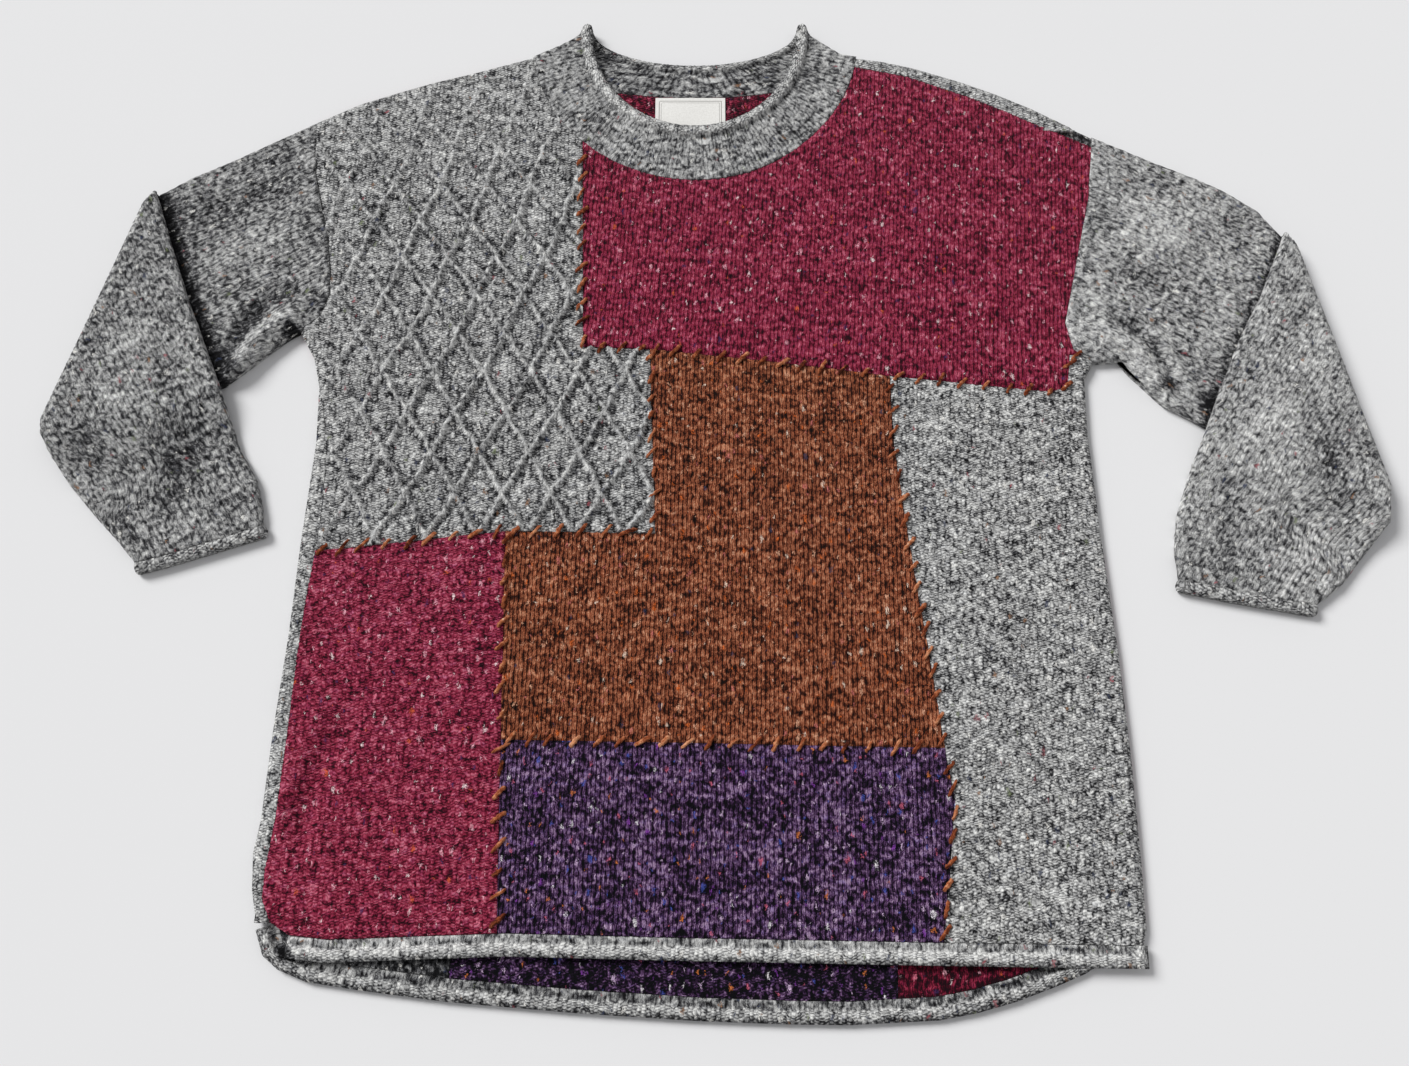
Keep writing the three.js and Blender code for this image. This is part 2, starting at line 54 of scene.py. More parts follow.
NECK = np.array([-13.0, 394.0])  # centre of the front neck curves
BACK_NECK = np.array([-13.0, 400.0])
NECK_EDGE = np.array([86.0, 93.0])  # half axes of the rolled edge
BACK_NECK_EDGE = np.array([86.0, 36.0])
NECKLINE = np.array([138.0, 143.5])  # half axes of the seam below a neckband
BACK_NECKLINE = np.array([170.0, 67.5])
BACK_AXIS = -9.5  # the back repeats the front turned over about this line
ARMHOLE_REACH = 272  # how far from the middle the seams of the armholes begin
SEEN_AT_NECK = (280, 110)  # the back's inner side shows above this height, this far from the neck's middle
SEEN_AT_HEM = -326  # and below this one
OUTLINE_STEP = 2.2  # spacing of the points along a piece's outline
STITCH_STEP = (WALE / 2, COURSE)  # spacing of the points that show single stitches
HIDDEN_STEP = (9.0, 9.0)  # and of those on sides that don't show
SEAM_REACH = 2.4  # how far from a seam the cloth dips towards it
FLOOR_GAP = 0.03  # least height of yarn that is pressed to the floor
chance = np.random.default_rng(7)


# ---- camera, floor and light ----

def make_camera():
    data = bpy.data.cameras.new("camera")
    data.lens = 35
    data.sensor_width = 36
    camera = bpy.data.objects.new("camera", data)
    camera.location = (-0.0047, -0.3858, 0.9642)
    camera.rotation_euler = (math.radians(19.15), 0, 0)
    bpy.context.collection.objects.link(camera)
    bpy.context.scene.camera = camera


def make_light(name, come_from, softness, strength):
    """A far soft light from one side: softness is how wide it looks, in degrees."""
    data = bpy.data.lights.new(name, "SUN")
    data.angle = math.radians(softness)
    data.energy = strength
    light = bpy.data.objects.new(name, data)
    light.rotation_euler = (-Vector(come_from)).to_track_quat("-Z", "Y").to_euler()
    bpy.context.collection.objects.link(light)


def make_stage():
    floor_size = 12
    mesh = bpy.data.meshes.new("floor")
    corner = floor_size / 2
    corners = [(-corner, -corner, 0), (corner, -corner, 0), (corner, corner, 0), (-corner, corner, 0)]
    mesh.from_pydata(corners, [], [(0, 1, 2, 3)])
    floor = bpy.data.objects.new("floor", mesh)
    bpy.context.collection.objects.link(floor)
    material = bpy.data.materials.new("floor_paper")
    material.use_nodes = True
    shader = material.node_tree.nodes["Principled BSDF"]
    shader.inputs["Base Color"].default_value = (0.80, 0.80, 0.802, 1)
    shader.inputs["Roughness"].default_value = 0.9
    shader.inputs["Specular IOR Level"].default_value = 0.2
    mesh.materials.append(material)
    world = bpy.data.worlds.new("studio")
    world.use_nodes = True
    world.node_tree.nodes["Background"].inputs["Color"].default_value = (0.98, 0.98, 1.0, 1)
    world.node_tree.nodes["Background"].inputs["Strength"].default_value = 0.4
    bpy.context.scene.world = world
    make_light("key", (-1.0, 0.75, 1.0), 26, 3.0)
    bpy.context.scene.view_settings.view_transform = "Standard"


# ---- materials ----

class Graph:
    """Short calls for building one material's nodes."""

    def __init__(self, name):
        self.material = bpy.data.materials.new(name)
        self.material.use_nodes = True
        self.tree = self.material.node_tree
        self.shader = self.tree.nodes["Principled BSDF"]

    def node(self, kind, inputs=(), output=0, **settings):
        made = self.tree.nodes.new(kind)
        for key, value in settings.items():
            setattr(made, key, value)
        for slot, value in enumerate(inputs):
            self.feed(made.inputs[slot], value)
        return made.outputs[output]

    def feed(self, socket, value):
        if value is None:
            return
        if isinstance(value, bpy.types.NodeSocket):
            self.tree.links.new(value, socket)
        else:
            socket.default_value = value

    def math(self, operation, *values):
        return self.node("ShaderNodeMath", values, operation=operation)

    def add(self, first, second):
        return self.math("ADD", first, second)

    def sub(self, first, second):
        return self.math("SUBTRACT", first, second)

    def mul(self, first, second):
        return self.math("MULTIPLY", first, second)

    def parts(self, kind, value):
        """The outputs of a node that takes a vector or a colour apart."""
        made = self.tree.nodes.new(kind)
        self.feed(made.inputs[0], value)
        return made.outputs

    def bump(self, height, strength, depth):
        """Feeds the shader's normal from a height, with its depth in millimetres."""
        made = self.tree.nodes.new("ShaderNodeBump")
        made.inputs["Strength"].default_value = strength
        made.inputs["Distance"].default_value = depth * MM
        self.feed(made.inputs["Height"], height)
        self.feed(self.shader.inputs["Normal"], made.outputs["Normal"])

    def vector(self, x, y, z):
        return self.node("ShaderNodeCombineXYZ", (x, y, z))

    def noise(self, point, scale, detail=2.0):
        made = self.tree.nodes.new("ShaderNodeTexNoise")
        self.feed(made.inputs["Vector"], point)
        made.inputs["Scale"].default_value = scale
        made.inputs["Detail"].default_value = detail
        return made.outputs["Fac"]

    def ramp(self, value, stops, interpolation="LINEAR"):
        made = self.tree.nodes.new("ShaderNodeValToRGB")
        ramp = made.color_ramp
        ramp.interpolation = interpolation
        while len(ramp.elements) < len(stops):
            ramp.elements.new(0.5)
        for element, (place, colour) in zip(ramp.elements, stops):
            element.position = place
            element.color = colour if len(colour) == 4 else (*colour, 1)
        self.feed(made.inputs["Fac"], value)
        return made.outputs["Color"]

    def mix(self, share, first, second):
        made = self.tree.nodes.new("ShaderNodeMix")
        made.data_type = "RGBA"
        self.feed(made.inputs["Factor"], share)
        self.feed(made.inputs["A"], first)
        self.feed(made.inputs["B"], second)
        return made.outputs["Result"]


def colour(red, green, blue):
    """Linear colour from one stated as 0 to 255."""
    def linear(value):
        share = value / 255
        return share / 12.92 if share <= 0.04045 else ((share + 0.055) / 1.055) ** 2.4
    return (linear(red), linear(green), linear(blue), 1)


def stops(*rows):
    """Places along a ramp, each with its colour from 0 to 255."""
    return [(place, colour(*parts)) for place, *parts in rows]


def wool(name, shades, flecks, fleck_share, tint, contrast, felted):
    """Tweed yarn, knitted. shades go from the darkest fibres to the lightest, flecks are the neps' colours,
    tint colours some of the fibres, contrast is how much the yarn's shade varies, and felted is how far
    wear has closed the stitches up."""
    g = Graph(name)
    knit = g.node("ShaderNodeAttribute", attribute_name="knit", output=1)
    u, v, purl = g.parts("ShaderNodeSeparateXYZ", knit)

    def place_at(across, along, layer):
        """The stitch place, stretched each way, as a texture's coordinates."""
        return g.vector(g.mul(u, across), g.mul(v, along), layer)

    # Painted light and shade from the mesh, with a random tone on some pieces.
    painted_light_and_tone = g.node("ShaderNodeAttribute", attribute_name="painted_light_and_tone", output=2)
    # Hand and wash have pulled the stitches a little out of line.
    pull = g.tree.nodes.new("ShaderNodeTexNoise")
    g.feed(pull.inputs["Vector"], place_at(0.3, 0.3, 1.0))
    pull.inputs["Scale"].default_value = 1.0
    pulled = g.parts("ShaderNodeSeparateColor", pull.outputs["Color"])
    u = g.add(u, g.mul(g.sub(pulled[0], 0.5), 1.0 + felted))
    v = g.add(v, g.mul(g.sub(pulled[1], 0.5), 3.0))
    whole = g.math("ROUND", u)
    across = g.math("ABSOLUTE", g.sub(u, whole))
    # Knit side: each stitch is two legs that rise outwards from the middle of its wale.
    slanted = g.sub(v, g.mul(across, 1.7))
    leg_row = g.math("SMOOTH_MIN", g.mul(g.math("PINGPONG", slanted, 0.5), 2), 0.8, 0.3)
    leg_side = g.math("SMOOTH_MIN", g.mul(g.math("PINGPONG", across, 0.25), 4), 0.85, 0.3)
    leg = g.math("MULTIPLY_ADD", leg_row, 0.32, g.mul(leg_side, 0.42))
    groove = g.mul(g.math("POWER", g.mul(across, 2), 4), 0.6)
    leg = g.math("MULTIPLY_ADD", g.sub(leg, groove), 1 - felted, 0.36 * felted)
    # Purl side: each stitch is a bump that lies across its wale, every other one half a row higher.
    step = g.mul(g.math("PINGPONG", whole, 1), 0.5)
    bump_row = g.mul(g.math("PINGPONG", g.add(v, step), 0.5), 2)
    bump_side = g.sub(1, g.mul(g.math("POWER", across, 2), 2))
    bump = g.mul(g.math("SMOOTH_MIN", bump_row, 0.85, 0.3), bump_side)
    relief = g.add(g.mul(leg, g.sub(1, purl)), g.mul(bump, purl))
    fibre_place = place_at(3.2, 2.2, purl)
    fibres = g.noise(fibre_place, 1.3, 3.0)
    # Colour: every leg has its own shade, the yarn drifts along its row, and fibres cross both.
    strand = g.vector(g.math("FLOOR", g.mul(u, 2)), g.math("FLOOR", slanted), 0.0)
    shade_of_leg = g.node("ShaderNodeTexWhiteNoise", (strand,), noise_dimensions="3D")
    loops = g.noise(place_at(1.0, 0.55, 13.0), 1.0, 1.0)
    drift = g.noise(place_at(0.42, 0.36, 3.0), 1.0, 1.0)
    patches = g.noise(place_at(0.12, 0.09, 9.0), 1.0, 2.0)
    shade = g.math("MULTIPLY_ADD", shade_of_leg, contrast * 0.22, 0.475 - contrast * 0.11)
    for layer, share in ((loops, 1.5), (drift, 0.9), (fibres, 1.0), (patches, 0.55)):
        shade = g.add(shade, g.mul(g.sub(layer, 0.5), share * contrast))
    # Painted shade in the stitches' hollows and painted light on their raised legs and bumps.
    shade = g.add(shade, g.mul(g.sub(relief, 0.34), 0.5))
    # Painted light and shade from the mesh lighten and darken the yarn.
    shade = g.add(shade, g.mul(painted_light_and_tone, 0.22))
    yarn = g.ramp(shade, shades)
    tint_place = place_at(0.5, 0.6, 21.0)
    tint_share = g.mul(g.sub(g.noise(tint_place, 1.0, 2.0), 0.5), 2.6)
    tinted = g.node("ShaderNodeMix", data_type="RGBA", blend_type="MULTIPLY")
    mixer = tinted.node
    mixer.inputs["Factor"].default_value = 1.0
    g.feed(mixer.inputs["A"], yarn)
    g.feed(mixer.inputs["B"], tint)
    tint_clamped = g.math("MINIMUM", g.math("MAXIMUM", tint_share, 0), 1)
    yarn = g.mix(tint_clamped, yarn, mixer.outputs["Result"])
    # Neps: small slubs of other colours, spun into the yarn.
    place = place_at(WALE, COURSE * 0.62, purl)
    jitter = g.node("ShaderNodeTexNoise", (place, None, 0.6, 1.0), output=1, noise_dimensions="3D")
    wobble = g.node("ShaderNodeVectorMath", (jitter, (0.5, 0.5, 0.5)), operation="SUBTRACT")
    wobble = g.node("ShaderNodeVectorMath", (wobble, (4.0, 4.0, 0.0)), operation="MULTIPLY")
    place = g.node("ShaderNodeVectorMath", (place, wobble), operation="ADD")
    cells = g.tree.nodes.new("ShaderNodeTexVoronoi")
    cells.voronoi_dimensions = "2D"
    g.feed(cells.inputs["Vector"], place)
    cells.inputs["Scale"].default_value = 1 / 6.5
    cell = g.parts("ShaderNodeSeparateColor", cells.outputs["Color"])
    size = g.math("MULTIPLY_ADD", g.math("POWER", cell[0], 3), 0.18, 0.115)
    edge = g.sub(0.9, g.math("DIVIDE", cells.outputs["Distance"], size))
    edge = g.add(edge, g.mul(g.sub(fibres, 0.5), 2.6))
    near = g.math("MINIMUM", g.mul(g.math("MAXIMUM", edge, 0), 1.6), 1)
    chosen = g.math("LESS_THAN", cell[1], fleck_share)
    fleck = g.mul(near, chosen)
    fleck_colour = g.ramp(cell[2], flecks, "CONSTANT")
    soft = g.mul(fleck, g.math("MULTIPLY_ADD", fibres, 0.7, 0.45))
    g.feed(g.shader.inputs["Base Color"], g.mix(soft, yarn, fleck_colour))
    g.shader.inputs["Roughness"].default_value = 0.95
    g.shader.inputs["Specular IOR Level"].default_value = 0.1
    g.shader.inputs["Sheen Weight"].default_value = 0.05
    g.shader.inputs["Sheen Roughness"].default_value = 0.6
    height = g.add(relief, g.mul(fibres, 0.7))
    height = g.add(height, g.mul(fleck, 0.3))
    g.bump(height, 0.75, 0.9)
    return g.material


def grey_wool():
    shades = stops((0.0, 10, 10, 12), (0.25, 70, 70, 72), (0.5, 148, 148, 147),
                   (0.75, 196, 196, 194), (1.0, 236, 236, 232))
    flecks = stops((0.0, 240, 238, 232), (0.4, 54, 62, 88), (0.6, 34, 32, 34),
                   (0.78, 150, 112, 84), (0.86, 120, 130, 96), (0.93, 160, 84, 92))
    return wool("grey_tweed", shades, flecks, 0.5, (0.9, 0.91, 0.95, 1), 0.82, 0.7)


def burgundy_wool():
    shades = stops((0.0, 28, 0, 10), (0.25, 80, 4, 28), (0.5, 132, 32, 58),
                   (0.75, 160, 60, 84), (1.0, 196, 106, 126))
    flecks = stops((0.0, 236, 172, 186), (0.4, 216, 116, 138), (0.66, 210, 92, 56),
                   (0.74, 58, 40, 86), (0.86, 244, 222, 222))
    return wool("burgundy_tweed", shades, flecks, 0.75, (0.72, 0.75, 1.1, 1), 1.0, 0.35)


def brown_wool():
    shades = stops((0.0, 16, 3, 0), (0.25, 66, 26, 12), (0.5, 126, 68, 44),
                   (0.75, 160, 98, 70), (1.0, 198, 142, 110))
    flecks = stops((0.0, 228, 172, 140), (0.42, 214, 104, 44), (0.62, 50, 54, 80),
                   (0.7, 206, 116, 108), (0.88, 240, 216, 196))
    return wool("brown_tweed", shades, flecks, 0.8, (1.15, 0.85, 0.7, 1), 1.05, 0.1)


def purple_wool():
    shades = stops((0.0, 0, 0, 4), (0.25, 20, 6, 26), (0.5, 66, 40, 74),
                   (0.75, 108, 80, 116), (1.0, 156, 130, 160))
    flecks = stops((0.0, 214, 186, 218), (0.3, 70, 84, 170), (0.5, 206, 100, 128),
                   (0.66, 214, 122, 62), (0.78, 130, 62, 160), (0.9, 242, 238, 240))
    return wool("purple_tweed", shades, flecks, 0.75, (0.7, 0.75, 1.15, 1), 1.3, 0.2)


def oversewing_wool():
    shades = stops((0.0, 60, 20, 8), (0.3, 116, 54, 28), (0.6, 160, 90, 56),
                   (1.0, 210, 150, 112))
    flecks = stops((0.0, 226, 180, 150), (0.6, 206, 120, 70))
    return wool("rust_yarn", shades, flecks, 0.2, (1.1, 0.9, 0.7, 1), 0.7, 0.6)


def label_cotton():
    """Plain woven cotton tape with a border of two woven lines."""
    g = Graph("label_cotton")
    knit = g.node("ShaderNodeAttribute", attribute_name="knit", output=1)
    x, y, edge = g.parts("ShaderNodeSeparateXYZ", knit)
    warp = g.math("PINGPONG", g.mul(x, 2.2), 0.5)
    weft = g.math("PINGPONG", g.mul(y, 2.2), 0.5)
    weave = g.mul(warp, weft)
    line = g.math("LESS_THAN", g.math("ABSOLUTE", g.sub(edge, 3.2)), 0.35)
    inner_line = g.math("LESS_THAN", g.math("ABSOLUTE", g.sub(edge, 4.8)), 0.2)
    border = g.mul(g.math("MAXIMUM", line, inner_line), 0.75)
    cloth = g.ramp(g.add(g.mul(weave, 2), g.noise(knit, 0.8)),
                   [(0.2, colour(214, 212, 206)), (0.9, colour(244, 243, 239))])
    g.feed(g.shader.inputs["Base Color"], g.mix(border, cloth, colour(120, 116, 112)))
    g.shader.inputs["Roughness"].default_value = 0.8
    g.bump(weave, 0.6, 0.15)
    return g.material


# ---- plane geometry, in millimetres ----

def spaced(line, step, closed):
    """The line's points and evenly spaced ones between them, no more than step apart."""
    line = np.asarray(line, float)
    ends = np.roll(line, -1, axis=0) if closed else line[1:]
    starts = line if closed else line[:-1]
    parts = []
    for start, end in zip(starts, ends):
        count = max(1, math.ceil(np.linalg.norm(end - start) / step))
        shares = np.arange(count)[:, None] / count
        parts.append(start + shares * (end - start))
    if not closed:
        parts.append(line[-1:])
    return np.vstack(parts)


def nearest(points, starts, ends):
    """Each point's distance to the nearest segment, which segment that is, and the share along it."""
    distance = np.full(len(points), 1e6)
    index = np.zeros(len(points), int)
    share = np.zeros(len(points))
    if len(starts) == 0:
        return distance, index, share
    run = ends - starts
    length = np.maximum((run ** 2).sum(axis=1), 1e-9)
    chunk = 4000
    for first in range(0, len(points), chunk):
        part = slice(first, first + chunk)
        away = points[part, None, :] - starts[None]
        t = np.clip((away * run).sum(axis=2) / length, 0, 1)
        gap = np.linalg.norm(away - t[:, :, None] * run, axis=2)
        best = gap.argmin(axis=1)
        rows = np.arange(len(best))
        distance[part] = gap[rows, best]
        index[part] = best
        share[part] = t[rows, best]
    return distance, index, share


def to_line(points, line, closed=False):
    """Distance to a line and the length along it of the nearest place."""
    line = np.asarray(line, float)
    starts = line if closed else line[:-1]
    ends = np.roll(line, -1, axis=0) if closed else line[1:]
    distance, index, share = nearest(points, starts, ends)
    lengths = np.linalg.norm(ends - starts, axis=1)
    before = np.concatenate([[0], np.cumsum(lengths)[:-1]])
    return distance, before[index] + share * lengths[index]


def inside(points, loop):
    """Which points lie within a closed outline."""
    x, y = points[:, 0], points[:, 1]
    result = np.zeros(len(points), bool)
    for (x0, y0), (x1, y1) in zip(loop, np.roll(loop, -1, axis=0)):
        if y0 == y1:
            continue
        crosses = (y0 > y) != (y1 > y)
        result ^= crosses & (x < (x1 - x0) * (y - y0) / (y1 - y0) + x0)
    return result


def smoothstep(value):
    value = np.clip(value, 0, 1)
    return value * value * (3 - 2 * value)


def grown(loop, distance):
    """A closed outline moved outwards a little."""
    tangent = np.roll(loop, -1, axis=0) - np.roll(loop, 1, axis=0)
    tangent /= np.linalg.norm(tangent, axis=1)[:, None]
    return loop + distance * np.column_stack([tangent[:, 1], -tangent[:, 0]])


def turning(tilt):
    """Rotation of plan points by the wales' tilt in degrees."""
    angle = math.radians(tilt)
    return np.array([[math.cos(angle), -math.sin(angle)], [math.sin(angle), math.cos(angle)]])


def dip(distance, reach):
    """Share of a dip's depth at a distance from its line."""
    return np.clip(1 - distance / reach, 0, 1) ** 2


def crease(points, line, width, rise, taper):
    """Height of one crease, which fades over a share of its length at each end."""
    distance, along = to_line(points, line)
    length = to_line(np.array([line[-1]], float), line)[1][0]
    ends = smoothstep(along / (taper * length)) * smoothstep((length - along) / (taper * length))
    return rise * np.exp(-(distance / width) ** 2) * ends


def area_of(loop):
    x, y = loop[:, 0], loop[:, 1]
    return 0.5 * float((x * np.roll(y, -1) - np.roll(x, -1) * y).sum())


# ---- outlines of the frame's pieces ----

def mesh_triangles(mesh):
    """A mesh's points, and its triangles as rows of three of them."""
    mesh.calc_loop_triangles()
    points = np.empty(len(mesh.vertices) * 3)
    mesh.vertices.foreach_get("co", points)
    corners = np.empty(len(mesh.loop_triangles) * 3, dtype=np.int32)
    mesh.loop_triangles.foreach_get("vertices", corners)
    return points.reshape(-1, 3), corners.reshape(-1, 3)


def node_triangles(name):
    points, corners = mesh_triangles(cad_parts[name].data)
    return points / MM, corners


def outline(name, facing):
    """Border, seen from above, of a node's upper half facing up (1) or its lower half facing down (-1).
    Returns its points anticlockwise, with their heights."""
    points, triangles = node_triangles(name)
    rounded = np.round(points, 2)
    _, first, merged = np.unique(rounded, axis=0, return_index=True, return_inverse=True)
    merged = merged.reshape(-1)
    corners = points[triangles]
    normal = np.cross(corners[:, 1] - corners[:, 0], corners[:, 2] - corners[:, 0])
    slope = normal[:, 2] / np.maximum(np.linalg.norm(normal, axis=1), 1e-9)
    height = corners[:, :, 2].mean(axis=1)
    chosen = (facing * slope > 0.02) & (facing * (height - MIDDLE) > 0)
    ids = merged[triangles[chosen]]
    edges = np.vstack([ids[:, [0, 1]], ids[:, [1, 2]], ids[:, [2, 0]]])
    present = set(map(tuple, edges))
    follow = {a: b for a, b in present if (b, a) not in present}
    loops = []
    while follow:
        start, here = follow.popitem()
        loop = [start]
        while here != start and here in follow:
            loop.append(here)
            here = follow.pop(here)
        loops.append(points[first[loop]])
    loop = max(loops, key=lambda candidate: abs(area_of(candidate)))
    gap = np.linalg.norm(loop[:, :2] - np.roll(loop[:, :2], 1, axis=0), axis=1)
    loop = loop[gap > 0.05]
    return loop if area_of(loop) > 0 else loop[::-1]


def split_edges(loop):
    """The loop's segments at a folded edge, and its others, each as starts and ends."""
    ends = np.roll(loop, -1, axis=0)
    at_fold = (np.abs(loop[:, 2] - MIDDLE) < 0.4) & (np.abs(ends[:, 2] - MIDDLE) < 0.4)
    flat, flat_ends = loop[:, :2], ends[:, :2]
    return (flat[at_fold], flat_ends[at_fold]), (flat[~at_fold], flat_ends[~at_fold])


# ---- meshes ----

def make_object(name, vertices, faces, knit, material, painted_light_and_tone=None, smooth=True):
    """vertices in millimetres; knit is each vertex's place in stitches, and 0 knit side or 1 purl side;
    the per-vertex painted light and shade says how open to the light each vertex lies among its
    neighbours, from -1 for a hollow to 1, and is painted into the colour; some pieces add a random tone to
    it."""
    mesh = bpy.data.meshes.new(name)
    mesh.from_pydata((np.asarray(vertices) * MM).tolist(), [], [list(map(int, face)) for face in faces])
    attribute = mesh.attributes.new("knit", "FLOAT_VECTOR", "POINT")
    attribute.data.foreach_set("vector", np.asarray(knit, dtype=np.float32).ravel())
    if painted_light_and_tone is not None:
        attribute = mesh.attributes.new("painted_light_and_tone", "FLOAT", "POINT")
        attribute.data.foreach_set("value", np.asarray(painted_light_and_tone, dtype=np.float32))
    mesh.materials.append(material)
    mesh.polygons.foreach_set("use_smooth", [smooth] * len(mesh.polygons))
    made = bpy.data.objects.new(name, mesh)
    bpy.context.collection.objects.link(made)
    return made


def triangulated(loop, points):
    """Triangles over a closed outline and the points inside it, which come after the outline's own."""
    count = len(loop)
    edges = [(i, (i + 1) % count) for i in range(count)]
    every = np.vstack([loop, points])
    made = geometry.delaunay_2d_cdt([Vector(p) for p in every], edges, [], 1, 1e-6, False)
    if len(made[0]) != len(every):
        raise ValueError("outline points meet: " + str(len(made[0]) - len(every)))
    faces = np.array([face for face in made[2]])
    return every, faces[within_border(every, faces, loop)]


def within_border(points, faces, loop):
    """Which triangles lie within the outline: those outside join its edges backwards, or join such a one."""
    count = len(loop)
    corners = points[faces]
    sides = corners[:, 1:] - corners[:, :1]
    area = 0.5 * (sides[:, 0, 0] * sides[:, 1, 1] - sides[:, 1, 0] * sides[:, 0, 1])
    doubtful = np.nonzero(~inside(corners.mean(axis=1), loop) | (area < 1e-3))[0]
    sharing = {}
    waiting = []
    for face in doubtful:
        a, b, c = (int(corner) for corner in faces[face])
        for edge in ((a, b), (b, c), (c, a)):
            sharing[edge] = face
            if max(edge) < count and (edge[0] - edge[1]) % count == 1:
                waiting.append(face)
    outer = set(waiting)
    while waiting:
        a, b, c = (int(corner) for corner in faces[waiting.pop()])
        for edge in ((b, a), (c, b), (a, c)):
            if max(edge) < count and (edge[0] - edge[1]) % count in (1, count - 1):
                continue
            other = sharing.get(edge)
            if other is not None and other not in outer:
                outer.add(other)
                waiting.append(other)
    kept = np.ones(len(faces), bool)
    kept[list(outer)] = False
    return kept


def knitted_points(loop, step, tilt, keep=None, margin=1.9):
    """Points in rows of stitches over an outline, plus two lines of points along its border."""
    turn = turning(tilt)
    turned = loop @ turn
    low = np.floor(turned.min(axis=0) / step)
    high = np.ceil(turned.max(axis=0) / step)
    across, along = np.meshgrid(np.arange(low[0], high[0] + 1), np.arange(low[1], high[1] + 1))
    grid = np.column_stack([across.ravel() * step[0], along.ravel() * step[1]]) @ turn.T
    grid = grid[inside(grid, loop)]
    if keep is not None:
        grid = grid[keep(grid)]
    distance, _ = to_line(grid, loop, closed=True)
    parts = [grid[distance > margin]]
    for reach in (0.45, 1.2):
        rim = grown(loop, -reach)
        rim = rim[inside(rim, loop)]
        distance, _ = to_line(rim, loop, closed=True)
        parts.append(rim[distance > reach * 0.92])
    return np.vstack(parts)


def cloth_mesh(loop, upper, lower, upper_points, lower_points):
    """Closed cloth between two heights over one outline: vertices, faces."""
    top, top_faces = triangulated(loop, upper_points)
    bottom, bottom_faces = triangulated(loop, lower_points)
    vertices = np.vstack([
        np.column_stack([top, upper(top)]),
        np.column_stack([bottom, lower(bottom)]),
    ])
    faces = [tuple(face) for face in top_faces]
    faces += [tuple(face[::-1] + len(top)) for face in bottom_faces]
    count = len(loop)
    for i in range(count):
        j = (i + 1) % count
        faces.append((j, i, len(top) + i))
        faces.append((j, len(top) + i, len(top) + j))
    return vertices, faces


def knit_places(points, tilt, purl):
    turned = points[:, :2] @ turning(tilt)
    return np.column_stack([turned[:, 0] / WALE, turned[:, 1] / COURSE, np.full(len(points), purl)])


# ---- creases and swells of the laid garment ----

# Each crease is a line, its width and its height, which is negative for a trough.
CREASES = [
    ([(-244, -172), (-257, -196), (-268, -212), (-276, -236), (-281, -262), (-283, -300)], 9, -2.6),
    ([(-266, -160), (-282, -196), (-292, -232), (-297, -280)], 8, 1.6),
    ([(-292, 108), (-262, 96), (-228, 92)], 12, 1.2),
    ([(-288, 128), (-250, 122), (-215, 128)], 11, -1.0),
    ([(272, 112), (240, 106), (206, 110)], 12, -1.2),
    ([(276, 138), (244, 140), (212, 150)], 13, 1.2),
    ([(-180, 346), (-196, 300), (-206, 250)], 18, 1.0),
    ([(192, 330), (214, 290), (226, 240)], 18, 1.0),
    ([(258, -40), (262, -120), (256, -190)], 14, 0.9),
    ([(-60, -230), (-40, -270), (-30, -318)], 14, -0.8),
    ([(70, -222), (86, -268), (92, -320)], 15, 0.8),
    ([(-130, 20), (-150, -10), (-190, -36)], 14, -0.8),
]


def creased(points):
    """Height that the creases and the long soft swells of the cloth add."""
    x, y = points[:, 0], points[:, 1]
    height = 0.5 * np.sin(x / 43 + 1.3) * np.sin(y / 57 + 0.4) + 0.35 * np.sin((x + y) / 31 + 2.0)
    height += 0.25 * np.sin(x / 17 - y / 23) * np.sin(y / 19 + x / 41)
    for line, width, rise in CREASES:
        height += crease(points, line, width, rise, 0.3)
    return height


def rounded(distance, reach):
    """Share of full height at a distance from a folded edge: a quarter of a circle."""
    inward = 1 - np.clip(distance / reach, 0, 1)
    return np.sqrt(1 - inward ** 2)


# ---- stitch patterns: relief in millimetres over plan points ----

def wavering(points, size):
    return chance.normal(0, size, len(points))


def stockinette(tilt, depth=0.55):
    def relief(points):
        u = knit_places(points, tilt, 0)[:, 0]
        return depth * np.cos(2 * math.pi * u) + wavering(points, 0.10)
    return relief


def purl_ridges(tilt):
    def relief(points):
        v = knit_places(points, tilt, 0)[:, 1]
        return 0.45 * np.cos(math.pi * v) + wavering(points, 0.10)
    return relief


def moss(tilt):
    def relief(points):
        u, v, _ = knit_places(points, tilt, 0).T
        return 0.6 * np.cos(math.pi * u) * np.cos(math.pi * v) + wavering(points, 0.12)
    return relief


LATTICE = (37.25, 67.0)  # width and height of one diamond
LATTICE_START = (0.5, 0.17)  # where its two families of lines start, as shares of a diamond


